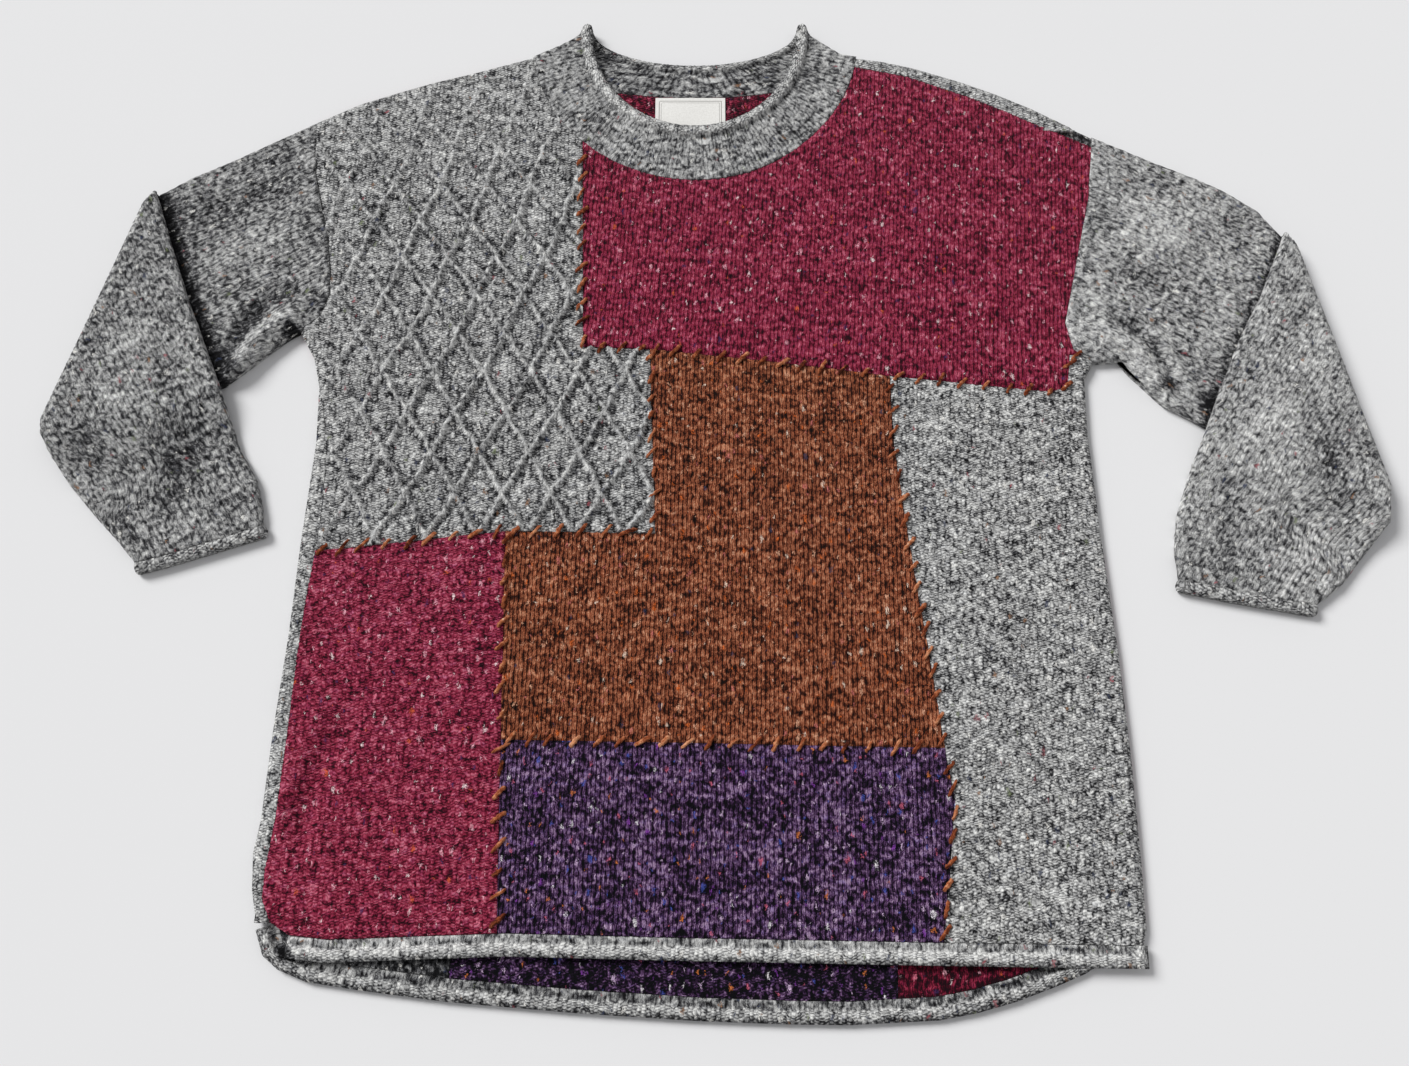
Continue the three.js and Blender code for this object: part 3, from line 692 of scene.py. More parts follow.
def lattice_lines(points):
    """Share of a raised line at each point, and of the hollows that flank the lines."""
    x, y = points[:, 0], points[:, 1]
    x = x + 0.00045 * np.clip(y, 0, None) ** 2  # the cloth leans
    x = x + 0.8 * np.sin(y / 4.4) + 1.4 * np.sin(y / 23 + x / 31)  # and its lines are not quite straight
    line = np.zeros(len(points))
    closest = np.full(len(points), 1e3)
    steep = math.hypot(1 / LATTICE[0], 1 / LATTICE[1])
    for direction, start in zip((1, -1), LATTICE_START):
        phase = x / LATTICE[0] + direction * y / LATTICE[1] - start
        distance = np.abs(phase - np.round(phase)) / steep
        line = np.maximum(line, np.exp(-(distance / 1.6) ** 2))
        closest = np.minimum(closest, distance)
    hollow = np.exp(-((closest - 4.2) / 1.9) ** 2)
    strength = 0.35 + 0.65 * smoothstep((x + 330) / 120) * smoothstep((340 - y) / 140)
    return line * strength, hollow * strength


def lattice(points):
    """Diamonds of travelling stitches, about 3 mm wide, on a purl ground."""
    line, hollow = lattice_lines(points)
    return 3.0 * line - 0.7 * hollow - 0.4 + wavering(points, 0.25)


def painted_light_and_tone_of(pattern, points, tilt):
    """Painted light and shade: how much more light reaches the raised stitches of a pattern than its
    hollows, painted into the colour, with a random tone on the moss patch.
    """
    u, v, _ = knit_places(points, tilt, 0).T
    if pattern is lattice:
        line, hollow = lattice_lines(points)
        return 0.6 * line - 1.0 * hollow
    if pattern is PATCHES["side"][1]:
        return 0.3 * np.cos(math.pi * u) * np.cos(math.pi * v) + wavering(points, 0.5)
    if pattern is PATCHES["lower"][1]:
        return 0.4 * np.cos(math.pi * v)
    return 0.45 * np.cos(2 * math.pi * u)


def turned_over(pattern):
    """The same pattern on the back, which repeats the front turned over about its own middle."""

    def relief(points):
        return pattern(np.column_stack([2 * BACK_AXIS - points[:, 0], points[:, 1]]))
    return relief


# ---- the body's patches ----

# name: (slot, pattern, tilt of the wales in degrees, 1 where the purl side shows)
PATCHES = {
    "diamond": ("grey_wool", lattice, 0, 1),
    "yoke": ("burgundy_wool", stockinette(-4, 0.3), -4, 0),
    "centre": ("brown_wool", stockinette(-1), -1, 0),
    "bottom": ("purple_wool", stockinette(-1), -1, 0),
    "lower": ("burgundy_wool", purl_ridges(1), 1, 1),
    "side": ("grey_wool", moss(-2), -2, 1),
}


def seam_depth(points):
    """Depth of the dip along a seam, which is slight at the armholes."""
    return np.where(np.abs(points[:, 0]) > ARMHOLE_REACH, 0.25, 0.9)


def front_heights(fold, seams, pattern):
    """Upper and lower heights of a front patch."""
    def upper(points):
        to_fold, _, _ = nearest(points, *fold)
        to_seam, _, _ = nearest(points, *seams)
        settled = smoothstep(to_fold / 8)
        crown = MIDDLE + 0.6 + (FLAT - MIDDLE - 0.6) * rounded(to_fold, FOLD_ROUND)
        sewn = seam_depth(points) * dip(to_seam, SEAM_REACH)
        return crown + (creased(points) + pattern(points)) * settled - sewn

    def lower(points):
        to_fold, _, _ = nearest(points, *fold)
        return MIDDLE + 0.1 + 0.5 * smoothstep((to_fold - 2) / 4)
    return upper, lower


def declare_cloth(loops):
    """Works out the area of a flat piece's outlines, and keeps nothing of it."""
    area = sum(abs(area_of(loop)) for loop in loops) * MM * MM


def finish_piece(piece, slot, *nodes):
    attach(piece, "root")
    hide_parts(*nodes)


def front_patch(kind, materials):
    slot, pattern, tilt, purl = PATCHES[kind]
    node = "front_" + kind
    border = outline(node, 1)
    fold, seams = split_edges(border)
    loop = grown(spaced(border[:, :2], OUTLINE_STEP, closed=True), 0.12)
    upper, lower = front_heights(fold, seams, pattern)
    fine = knitted_points(loop, STITCH_STEP, tilt)
    coarse = knitted_points(loop, HIDDEN_STEP, tilt, margin=6)
    vertices, faces = cloth_mesh(loop, upper, lower, fine, coarse)
    places = knit_places(vertices, tilt, purl)
    if pattern is lattice:
        places[:, 2] = 1 - lattice_lines(vertices[:, :2])[0]
    painted_light_and_tone = painted_light_and_tone_of(pattern, vertices[:, :2], tilt)
    piece = make_object("cloth_" + node, vertices, faces, places, materials[slot], painted_light_and_tone)
    declare_cloth([border])
    finish_piece(piece, slot, node)
    return border


def back_patch(kind, materials):
    """A back patch lies on the floor; its inner side shows at the neck and beyond the front hem."""
    slot, pattern, tilt, purl = PATCHES[kind]
    node = "back_" + kind
    border = outline(node, -1)
    fold, seams = split_edges(border)
    loop = spaced(border[:, :2], 2.6, closed=True)
    mirrored = turned_over(pattern)

    def lower(points):
        to_fold, _, _ = nearest(points, *fold)
        sunk = MIDDLE * (1 - rounded(to_fold, FOLD_ROUND))
        relief = mirrored(points)
        flattened = np.clip(0.5 - 0.5 * relief, 0, 1.2)
        return sunk + flattened * smoothstep(to_fold / 8)

    def upper(points):
        to_fold, _, _ = nearest(points, *fold)
        to_seam, _, _ = nearest(points, *seams)
        shown = inner_shown(points)
        rib = 0.3 * np.cos(math.pi * knit_places(points, -tilt, 0)[:, 1])
        rib = rib + wavering(points, 0.1)
        sewn = 0.5 * dip(to_seam, SEAM_REACH)
        edge = (MIDDLE - 0.1 - WALL) * (1 - smoothstep((to_fold - 1) / 4))
        return WALL + edge + rib * shown * smoothstep(to_fold / 8) - sewn

    stockinette_like = purl == 0
    step = (WALE / 2, 3 * COURSE) if stockinette_like else (WALE, COURSE)
    if pattern is lattice:
        step = (WALE, 2 * COURSE)
    outer = knitted_points(loop, step, -tilt)
    shown_points = knitted_points(loop, STITCH_STEP, -tilt, keep=inner_shown)
    hidden_points = knitted_points(loop, HIDDEN_STEP, -tilt, keep=lambda grid: ~inner_shown(grid), margin=6)
    inner_points = np.vstack([shown_points, without_near(hidden_points, shown_points)])
    vertices, faces = cloth_mesh(loop, upper, lower, inner_points, outer)
    places = knit_places(vertices, -tilt, purl)
    inner_count = len(loop) + len(inner_points)
    places[:inner_count, 2] = 1 - purl
    painted_light_and_tone = np.zeros(len(vertices))
    # Painted shade over the back's inner side, which lies under the front.
    painted_light_and_tone[:inner_count] = -1.4
    borders = [border]
    if kind in ("diamond", "side"):
        wrap, wrap_faces, wrap_places, wrap_border = wrap_mesh(node, tilt)
        faces = faces + [tuple(corner + len(vertices) for corner in face) for face in wrap_faces]
        vertices = np.vstack([vertices, wrap])
        places = np.vstack([places, wrap_places])
        painted_light_and_tone = np.concatenate([painted_light_and_tone, np.zeros(len(wrap))])
        borders.append(wrap_border)
    piece = make_object("cloth_" + node, vertices, faces, places, materials[slot], painted_light_and_tone)
    declare_cloth(borders)
    finish_piece(piece, slot, node)
    return border


def inner_shown(points):
    """Where the inside of the back can be seen: within the neck, and beyond the front hem."""
    height, reach = SEEN_AT_NECK
    at_neck = (points[:, 1] > height) & (np.abs(points[:, 0] - NECK[0]) < reach)
    return at_neck | (points[:, 1] < SEEN_AT_HEM)


def without_near(points, others, gap=1.0):
    """points without those that nearly repeat one of the others."""
    if len(others) == 0:
        return points
    taken = set(map(tuple, np.round(others / gap).astype(int)))
    kept = []
    for x, y in points:
        cell = (round(x / gap), round(y / gap))
        around = [(cell[0] + i, cell[1] + j) for i in (-1, 0, 1) for j in (-1, 0, 1)]
        if not any(c in taken for c in around):
            kept.append((x, y))
    return np.array(kept).reshape(-1, 2)


def wrap_mesh(node, tilt):
    """The strip of the back that comes round a folded edge to the front."""
    border = outline(node, 1)
    fold, seams = split_edges(border)
    loop = grown(spaced(border[:, :2], OUTLINE_STEP, closed=True), 0.25)
    loop[loop[:, 1] < loop[:, 1].min() + 2, 1] -= 3.0  # it runs on beneath the hem's end

    def upper(points):
        to_fold, _, _ = nearest(points, *fold)
        to_seam, _, _ = nearest(points, *seams)
        crown = MIDDLE + (FLAT - MIDDLE) * rounded(to_fold, FOLD_ROUND)
        sewn = 0.4 * dip(to_seam, SEAM_REACH)
        relief = (creased(points) + wavering(points, 0.25)) * smoothstep(to_fold / 5)
        return crown + relief - sewn

    def lower(points):
        to_fold, _, _ = nearest(points, *fold)
        return MIDDLE - 0.3 + 0.8 * smoothstep(to_fold / 4)

    fine = knitted_points(loop, STITCH_STEP, tilt)
    coarse = knitted_points(loop, (6.0, 6.0), tilt, margin=3)
    vertices, faces = cloth_mesh(loop, upper, lower, fine, coarse)
    return vertices, faces, knit_places(vertices, tilt, 1), border


# ---- neckbands and hems ----

# Painted shade where little light reaches a band: its places, how wide they are, and how dark.
HOLLOWS = [((-286, -351), 5.0, 3.4), ((-86, 378), 11, 1.8), ((-91, 391), 8, 1.6)]

def ellipse_reach(points, centre, half_axes):
    """How far points lie outside an ellipse, about, and the length round it."""
    away = points - centre
    size = np.linalg.norm(away / half_axes, axis=1)
    span = np.linalg.norm(away, axis=1)
    round_it = np.arctan2(away[:, 0] / half_axes[0], -away[:, 1] / half_axes[1])  # from its lowest point
    return span * (1 - 1 / np.maximum(size, 1e-6)), round_it * half_axes.mean()


def lower_arc(centre, half_axes, first, last):
    """Points of an ellipse's lower half between two angles in degrees."""
    angles = np.radians(np.linspace(first, last, 40))
    return centre + half_axes * np.column_stack([np.cos(angles), np.sin(angles)])


# Top edges of the neckbands, where they meet the shoulders.
LEFT_OF_NECK = [(-127, 382), (-117, 388), (-110.5, 393.5), (-108.5, 398), (-104, 400.8), (-100.2, 398.8)]
RIGHT_OF_NECK = [(74.3, 398.8), (78, 400.8), (82, 398), (85, 391.8), (95, 384.2), (110, 373.2)]


def front_neck_outline():
    outer = lower_arc(NECK, NECKLINE - SEAM, 350.7, 189.3)
    inner = lower_arc(NECK, NECK_EDGE, 179, 361)
    return np.vstack([outer, LEFT_OF_NECK, inner, RIGHT_OF_NECK])[::-1]


def back_neck_outline():
    outer = lower_arc(BACK_NECK, BACK_NECKLINE - SEAM, 331.5, 209.5)
    inner = lower_arc(BACK_NECK, BACK_NECK_EDGE, 186.0, 354.0)
    return np.vstack([outer, LEFT_OF_NECK, inner, RIGHT_OF_NECK])[::-1]


def band(node, name, border, places_of, base, roll, rise, under, shade, materials):
    """A ribbed band with a rolled edge. places_of gives the length along it and the distance from its edge;
    roll is (width, height) of the roll, rise how high the band lies, under its underside's height, and
    shade the painted light level of the whole band: painted shade below 0, lighter above 0."""
    loop = grown(spaced(border, 2.0, closed=True), 0.12)
    width, height = roll

    def upper(points):
        along, from_edge = places_of(points)
        ribs = 0.22 * np.cos(2 * math.pi * along / WALE)
        flat = rise + (ribs + wavering(points, 0.12)) * smoothstep((from_edge - width) / 2)
        inward = np.clip(1 - from_edge / (width / 2), -1, 1)
        curl = base + height * np.sqrt(np.clip(1 - inward ** 2, 0, 1)) / 2 + height / 2
        curl = curl + (0.3 * np.cos(2 * math.pi * along / WALE) + wavering(points, 0.14))
        seam, _ = to_line(points, loop, closed=True)
        sewn = 0.7 * dip(seam, 2.2)
        top = np.where(from_edge < width, curl, flat - sewn)
        if node != "front_hem":
            return top
        to_end = np.minimum(points[:, 0] - border[:, 0].min(), border[:, 0].max() - points[:, 0])
        return top - (top - MIDDLE - 0.8) * (1 - rounded(to_end, 5.0))

    def lower(points):
        _, from_edge = places_of(points)
        inward = np.clip(1 - from_edge / (width / 2), -1, 1)
        curl = base + height / 2 - height * np.sqrt(np.clip(1 - inward ** 2, 0, 1)) / 2
        return np.where(from_edge < width / 2, np.maximum(curl, under), under)

    fine = knitted_points(loop, (1.15, 1.15), 0, margin=1.7)
    coarse = knitted_points(loop, (3.0, 3.0), 0, margin=2.4)
    vertices, faces = cloth_mesh(loop, upper, lower, fine, coarse)
    along, from_edge = places_of(vertices[:, :2])
    places = np.column_stack([along / WALE, from_edge / COURSE, (from_edge < width).astype(float)])
    # Painted shade between the ribs and in the hollows; painted light on the roll, painted shade at its free
    # edge.
    ribs = 0.3 * np.cos(2 * math.pi * along / WALE)
    rolled = 0.9 * np.sin(math.pi * np.clip(from_edge / width, 0, 1) - 0.7)
    painted_light_and_tone = shade + np.where(from_edge < width, rolled, ribs)
    for (x_dark, y_dark), wide, dark in HOLLOWS:
        painted_light_and_tone -= dark * np.exp(-(np.hypot(vertices[:, 0] - x_dark, vertices[:, 1] - y_dark) / wide) ** 2)
    piece = make_object(name, vertices, faces, places, materials["grey_wool"], painted_light_and_tone)
    length = float(np.ptp(along))
    area_of(border) / length * MM
    finish_piece(piece, "grey_wool", node)


def make_bands(materials):
    def neck_places(points):
        from_edge, along = ellipse_reach(points, NECK, NECK_EDGE)
        return along * 1.3, from_edge

    def back_neck_places(points):
        from_edge, along = ellipse_reach(points, BACK_NECK, BACK_NECK_EDGE)
        return along * 1.2, from_edge

    band("front_neckband", "band_front_neck", front_neck_outline(), neck_places,
         4.4, (9.5, 7.6), FLAT, 4.1, -0.1, materials)
    band("back_neckband", "band_back_neck", back_neck_outline(), back_neck_places,
         0.0, (7.0, 6.0), WALL, 0.0, -0.5, materials)
    for node, base, roll, rise, under, shade in (("front_hem", 3.9, (9.0, 6.6), FLAT - 0.4, 3.8, 0.1),
                                                 ("back_hem", 0.0, (8.5, 7.0), WALL, 0.0, -0.5)):
        border = outline(node, 1) if base else outline(node, -1)
        band(node, "band_" + node, border[:, :2], hem_places(border[:, :2]),
             base, roll, rise, under, shade, materials)


def hem_places(border):
    """Length along a hem and the distance from its free edge, which is the border's lower side."""
    left = border[:, 0].argmin()
    right = border[:, 0].argmax()
    ordered = np.roll(border, -left, axis=0)
    count = (right - left) % len(border)
    free_edge = ordered[:count + 1]

    def places(points):
        distance, along = to_line(points, free_edge)
        return along, distance
    return places


# ---- sleeves ----

FOLD_AXIS = FLAT + SEAM  # height of the line that a sleeve turns back about
DROP = 50.0  # length over which the folded part comes down beside the sleeve that it lies on

LEFT_SLEEVE = {
    "armhole": [(-325, 306), (-321, 255), (-306, 195), (-299, 150), (-305, 127), (-320, 113)],
    "over": [(-325, 306), (-360, 286), (-390, 269), (-421, 253), (-446, 236)],
    "under": [(-320, 113), (-330, 107), (-345, 94), (-358, 82), (-376, 66), (-425, 45), (-505, 23)],
    "folded_over": [(-446, 236), (-428, 188), (-409, 140), (-376, 66), (-356, 13), (-341, -10),
                    (-334, -34), (-332, -48)],
    "folded_under": [(-505, 23), (-495, 5), (-480, -16), (-459, -39), (-439, -59), (-423, -77)],
    "cuff": [(-332, -48), (-368, -60), (-405, -72), (-423, -77)],
    # painted light level of the whole sleeve: painted shade below 0, lighter above 0
    "shade": -0.25,
    "shadow": (8.5, 2.6),  # width and depth of the painted shadow beside the folded part
    # painted shade in hollows near the underarm: place, width and darkness
    "hollows": [(-327, 114, 5, 3.4), (-322, 110, 5, 2.4), (-374, 84, 9, 1.4)],
    "creases": [
        ([(-316, 138), (-332, 123), (-351, 103), (-363, 84), (-376, 60)], 8, 6.0),
        ([(-320, 158), (-345, 141), (-365, 121), (-378, 82)], 7, -3.0),
        ([(-330, 200), (-366, 192), (-398, 168)], 16, 1.4),
        ([(-336, 250), (-376, 236), (-408, 212)], 16, -1.2),
        ([(-440, 130), (-450, 70), (-446, 20)], 20, 1.6),
        ([(-396, 60), (-404, 10), (-398, -40)], 16, -1.4),
        ([(-462, 60), (-470, 20), (-452, -10)], 14, -1.2),
    ],
}
RIGHT_SLEEVE = {
    "armhole": [(314, 292), (305, 231), (289, 167), (277, 120), (281, 97), (296, 86)],
    "over": [(314, 292), (358, 270), (393, 253), (417, 240), (440, 223), (457, 198)],
    "under": [(296, 86), (320, 88), (329, 78), (336, 64), (348, 50), (366, 40), (420, 5), (503, -31)],
    "folded_over": [(457, 198), (433, 146), (409, 103), (384, 50), (363, 2), (347, -39),
                    (342, -66), (343, -90)],
    "folded_under": [(503, -31), (502, -46), (487, -64), (462, -93), (440, -109)],
    "cuff": [(343, -90), (380, -98), (407, -103), (440, -109)],
    # painted light level of the whole sleeve: painted shade below 0, lighter above 0
    "shade": 0.1,
    # width and depth of the painted shadow beside the folded part
    "shadow": (4.5, 1.5),
    # painted shade in hollows near the underarm: place, width and darkness
    "hollows": [(341, 98, 7, 1.6), (351, 68, 6, 2.6), (382, 50, 7, 2.2)],
    "creases": [
        ([(286, 120), (306, 110), (331, 98), (346, 70), (355, 46)], 8, 4.0),
        ([(304, 130), (326, 119), (345, 101), (355, 70), (361, 48)], 4.5, -2.6),
        ([(340, 120), (350, 104), (364, 77), (376, 50)], 6.5, 3.4),
        ([(356, 110), (366, 84), (374, 62), (384, 44)], 4.5, -2.4),
        ([(310, 160), (346, 160), (376, 140)], 14, -1.4),
        ([(320, 210), (356, 206), (390, 186)], 16, 1.4),
        ([(420, 60), (432, 10), (430, -40)], 20, 1.6),
        ([(384, 0), (388, -40), (384, -80)], 14, -1.2),
        ([(462, 30), (470, -10), (462, -50)], 14, -1.2),
    ],
}


def along_line(line, share):
    line = np.asarray(line, float)
    steps = np.linalg.norm(np.diff(line, axis=0), axis=1)
    lengths = np.concatenate([[0], np.cumsum(steps)])
    place = share * lengths[-1]
    return np.column_stack([np.interp(place, lengths, line[:, 0]), np.interp(place, lengths, line[:, 1])])


def region_points(start, end, over, under, s, u):
    """Points of the region between four lines, at shares s along it and u across it."""
    s = np.broadcast_to(s, u.shape)
    first, last = along_line(start, u), along_line(end, u)
    upper, lower = along_line(over, s), along_line(under, s)
    s, u = s[:, None], u[:, None]
    corners = (1 - s) * ((1 - u) * np.array(start[0]) + u * np.array(start[-1]))
    corners = corners + s * ((1 - u) * np.array(end[0]) + u * np.array(end[-1]))
    return (1 - s) * first + s * last + (1 - u) * upper + u * lower - corners


def flat_ring(columns, height, wall_inset, arc_steps):
    """Ring of a flattened tube: its share across, the length to add to it, and its height."""
    radius = height / 2
    reach = radius - wall_inset
    angles = np.pi * np.arange(arc_steps + 1) / arc_steps
    shares = np.arange(1, columns + 1) / (columns + 1)
    first = np.column_stack([0 * angles, radius - reach * np.sin(angles), radius + reach * np.cos(angles)])
    under = np.column_stack([shares, radius * (1 - 2 * shares), 0 * shares + radius - reach])
    last = np.column_stack([0 * angles + 1, reach * np.sin(angles) - radius, radius - reach * np.cos(angles)])
    over = np.column_stack([shares, radius * (1 - 2 * shares), 0 * shares + radius + reach])[::-1]
    return np.vstack([first, under, last, over]).T


def below_line(points, line):
    """How far points lie outside a sleeve's lower edge."""
    line = np.asarray(line, float)
    distance, index, share = nearest(points, line[:-1], line[1:])
    on_line = line[index] + share[:, None] * (line[index + 1] - line[index])
    return np.where(points[:, 1] < on_line[:, 1], distance, -distance)


def sleeve_rows(sleeve, wall_inset, columns, row_counts):
    """Rings along the sleeve, round its fold and down to its cuff, and where the forearm starts."""
    share, extra, height = flat_ring(columns, FLAT, wall_inset, 8)
    fold = np.array([sleeve["over"][-1], sleeve["under"][-1]], float)
    start, over, under = sleeve["armhole"], sleeve["over"], sleeve["under"]
    rows = []
    upper_rows, fold_rows, forearm_rows = row_counts
    for s in np.linspace(0, 1, upper_rows, endpoint=False):
        ends = region_points(start, fold, over, under, s, np.array([0.0, 1.0]))
        width = np.linalg.norm(ends[1] - ends[0])
        rows.append(np.column_stack([
            region_points(start, fold, over, under, s, share + extra / width), height,
        ]))
    run = fold[1] - fold[0]
    width = np.linalg.norm(run)
    outward = math.copysign(1, fold[0][0])
    normal = np.array([outward * abs(run[1]), abs(run[0])]) / width
    place = share + extra / width
    flat = fold[0] + place[:, None] * run
    ending = 0.25 + 0.75 * smoothstep(np.minimum(place, 1 - place) * width / 14)
    for angle in np.linspace(0, math.pi, fold_rows + 1):
        reach = (FOLD_AXIS - height) * math.sin(angle) * ending
        turned = FOLD_AXIS - (FOLD_AXIS - height) * math.cos(angle)
        rows.append(np.column_stack([flat + normal * reach[:, None], turned]))
    cuff, folded_over, folded_under = sleeve["cuff"], sleeve["folded_over"], sleeve["folded_under"]
    for s in np.linspace(0, 1, forearm_rows + 1)[1:]:
        ends = region_points(fold, cuff, folded_over, folded_under, s, np.array([0.0, 1.0]))
        width = np.linalg.norm(ends[1] - ends[0])
        points = region_points(fold, cuff, folded_over, folded_under, s, share + extra / width)
        lying = 1 - smoothstep(below_line(points, under) / DROP)
        lift = 2 * SEAM + FLAT * lying - 2 * SEAM * (1 - lying)
        rows.append(np.column_stack([points, lift + FLAT - height]))
    return np.array(rows), upper_rows + fold_rows // 2


def grid_normals(rows):
    """Outward normals of rings of points."""
    round_it = np.roll(rows, -1, axis=1) - np.roll(rows, 1, axis=1)
    lengthwise = np.gradient(rows, axis=0)
    normal = np.cross(round_it, lengthwise)
    normal /= np.maximum(np.linalg.norm(normal, axis=2, keepdims=True), 1e-9)
    return normal


def grid_faces(row_count, column_count, first=0, inside_out=False, closed=False):
    """Faces between rings of points. closed joins the last ring to the first."""
    faces = []
    for row in range(row_count if closed else row_count - 1):
        here = first + row * column_count
        there = first + (row + 1) % row_count * column_count
        for column in range(column_count):
            beside = (column + 1) % column_count
            face = (here + column, here + beside, there + beside, there + column)
            faces.append(face[::-1] if inside_out else face)
    return faces


def unit(vector):
    vector = np.asarray(vector, float)
    return vector / np.linalg.norm(vector)


def sleeve_knit(sleeve, rows, forearm_start):
    """Each point's place in stitches: wales run along the upper arm, and turn back with the fold."""
    over, under = np.array(sleeve["over"], float), np.array(sleeve["under"], float)
    upper = unit(unit(over[-1] - over[0]) + unit(under[-1] - under[0]))
    fold = unit(under[-1] - over[-1])
    folded = 2 * upper.dot(fold) * fold - upper
    places = np.zeros(rows.shape)
    for part, direction in ((slice(0, forearm_start), upper), (slice(forearm_start, None), folded)):
        across = np.array([-direction[1], direction[0]])
        middle = rows[part, :, :2].mean(axis=1, keepdims=True)
        outward = np.sign((rows[part, :, :2] - middle) @ across)
        down_side = np.abs(rows[part, :, 2] - rows[part, :, 2].max(axis=1, keepdims=True))
        places[part, :, 0] = (rows[part, :, :2] @ across + outward * down_side) / WALE
        places[part, :, 1] = rows[part, :, :2] @ direction / COURSE
    return places


def make_sleeve(name, node, sleeve, materials):
    columns = 230
    rows, forearm_start = sleeve_rows(sleeve, 0, columns, (58, 8, 72))
    places = sleeve_knit(sleeve, rows, forearm_start)
    normal = grid_normals(rows)
    if (normal[:, :, 2] * (rows[:, :, 2] - rows[:, :, 2].mean(axis=1, keepdims=True))).sum() < 0:
        normal = -normal
    fuzz = wavering(rows.reshape(-1, 3), 0.13).reshape(rows.shape[:2])
    relief = 0.16 * np.cos(2 * math.pi * places[:, :, 0]) + fuzz
    relief = relief * smoothstep((rows[:, :, 2] - 0.4) / 1.0)
    outer = rows + normal * relief[:, :, None]
    facing = smoothstep(normal[:, :, 2])
    plan = rows.reshape(-1, 3)[:, :2]
    x, y = plan[:, 0], plan[:, 1]
    folds = 0.5 * np.sin(x / 27 + 0.3) * np.sin(y / 33 + 1.4) + 0.3 * np.sin((x - y) / 19)
    for line, width, rise in sleeve["creases"]:
        folds = folds + crease(plan, line, width, rise, 0.25)
    outer[:, :, 2] += facing * folds.reshape(rows.shape[:2])
    outer[:, :, 2] = np.maximum(outer[:, :, 2], 0.02)
    # Painted light and shade: the sleeve's painted light level, and painted shade in the wale grooves.
    painted_light_and_tone = sleeve["shade"] + 0.12 * np.cos(2 * math.pi * places[:, :, 0])
    # Painted light on the creases' ridges and painted shade in their troughs.
    painted_light_and_tone += 0.9 * np.clip(folds / 2.5, -1.6, 0.6).reshape(fuzz.shape)
    # Painted shadow on the upper arm beside the folded part's edge.
    to_edge, _ = to_line(plan, sleeve["folded_over"])
    painted_shadow_share = np.exp(-(to_edge / sleeve["shadow"][0]) ** 1.5).reshape(fuzz.shape)
    painted_light_and_tone[:forearm_start] -= sleeve["shadow"][1] * painted_shadow_share[:forearm_start]
    # Painted shade in the hollows by the underarm.
    for x_dark, y_dark, wide, dark in sleeve["hollows"]:
        away = np.hypot(plan[:, 0] - x_dark, plan[:, 1] - y_dark).reshape(fuzz.shape)
        painted_light_and_tone[:forearm_start] -= dark * np.exp(-(away[:forearm_start] / wide) ** 2)
    inner, _ = sleeve_rows(sleeve, WALL, columns, (10, 8, 14))
    ring = rows.shape[1]
    vertices = np.vstack([outer.reshape(-1, 3), inner.reshape(-1, 3)])
    outer_count = len(rows) * ring
    faces = grid_faces(len(rows), ring)
    faces += grid_faces(len(inner), ring, outer_count, inside_out=True)
    last_outer = outer_count - ring
    last_inner = outer_count + (len(inner) - 1) * ring
    for column in range(ring):
        beside = (column + 1) % ring
        faces.append((outer_count + column, outer_count + beside, beside, column))
        faces.append((last_outer + column, last_outer + beside, last_inner + beside, last_inner + column))
    inner_places = np.zeros(inner.shape)
    inner_places[:, :, :2] = inner[:, :, :2] / COURSE
    inner_places[:, :, 2] = 1
    knit = np.vstack([places.reshape(-1, 3), inner_places.reshape(-1, 3)])
    # Painted shade over the inside of the tube.
    painted_lights_and_tones = np.concatenate([painted_light_and_tone.ravel(), np.full(inner[:, :, 0].size, -1.0)])
    piece = make_object(name, vertices, faces, knit, materials["grey_wool"], painted_lights_and_tones)
    make_faces_point_out(piece)
    widths = [np.linalg.norm(np.diff(ring_row[[0, ring // 2], :2], axis=0)) for ring_row in rows]
    length = np.linalg.norm(np.diff(rows[:, ring // 4], axis=0), axis=1).sum()
    finish_piece(piece, "grey_wool", node)


def make_faces_point_out(piece):
    points, triangles = mesh_triangles(piece.data)
    a, b, c = (points[triangles[:, corner]] for corner in range(3))
    if float((a * np.cross(b, c)).sum()) < 0:
        piece.data.flip_normals()


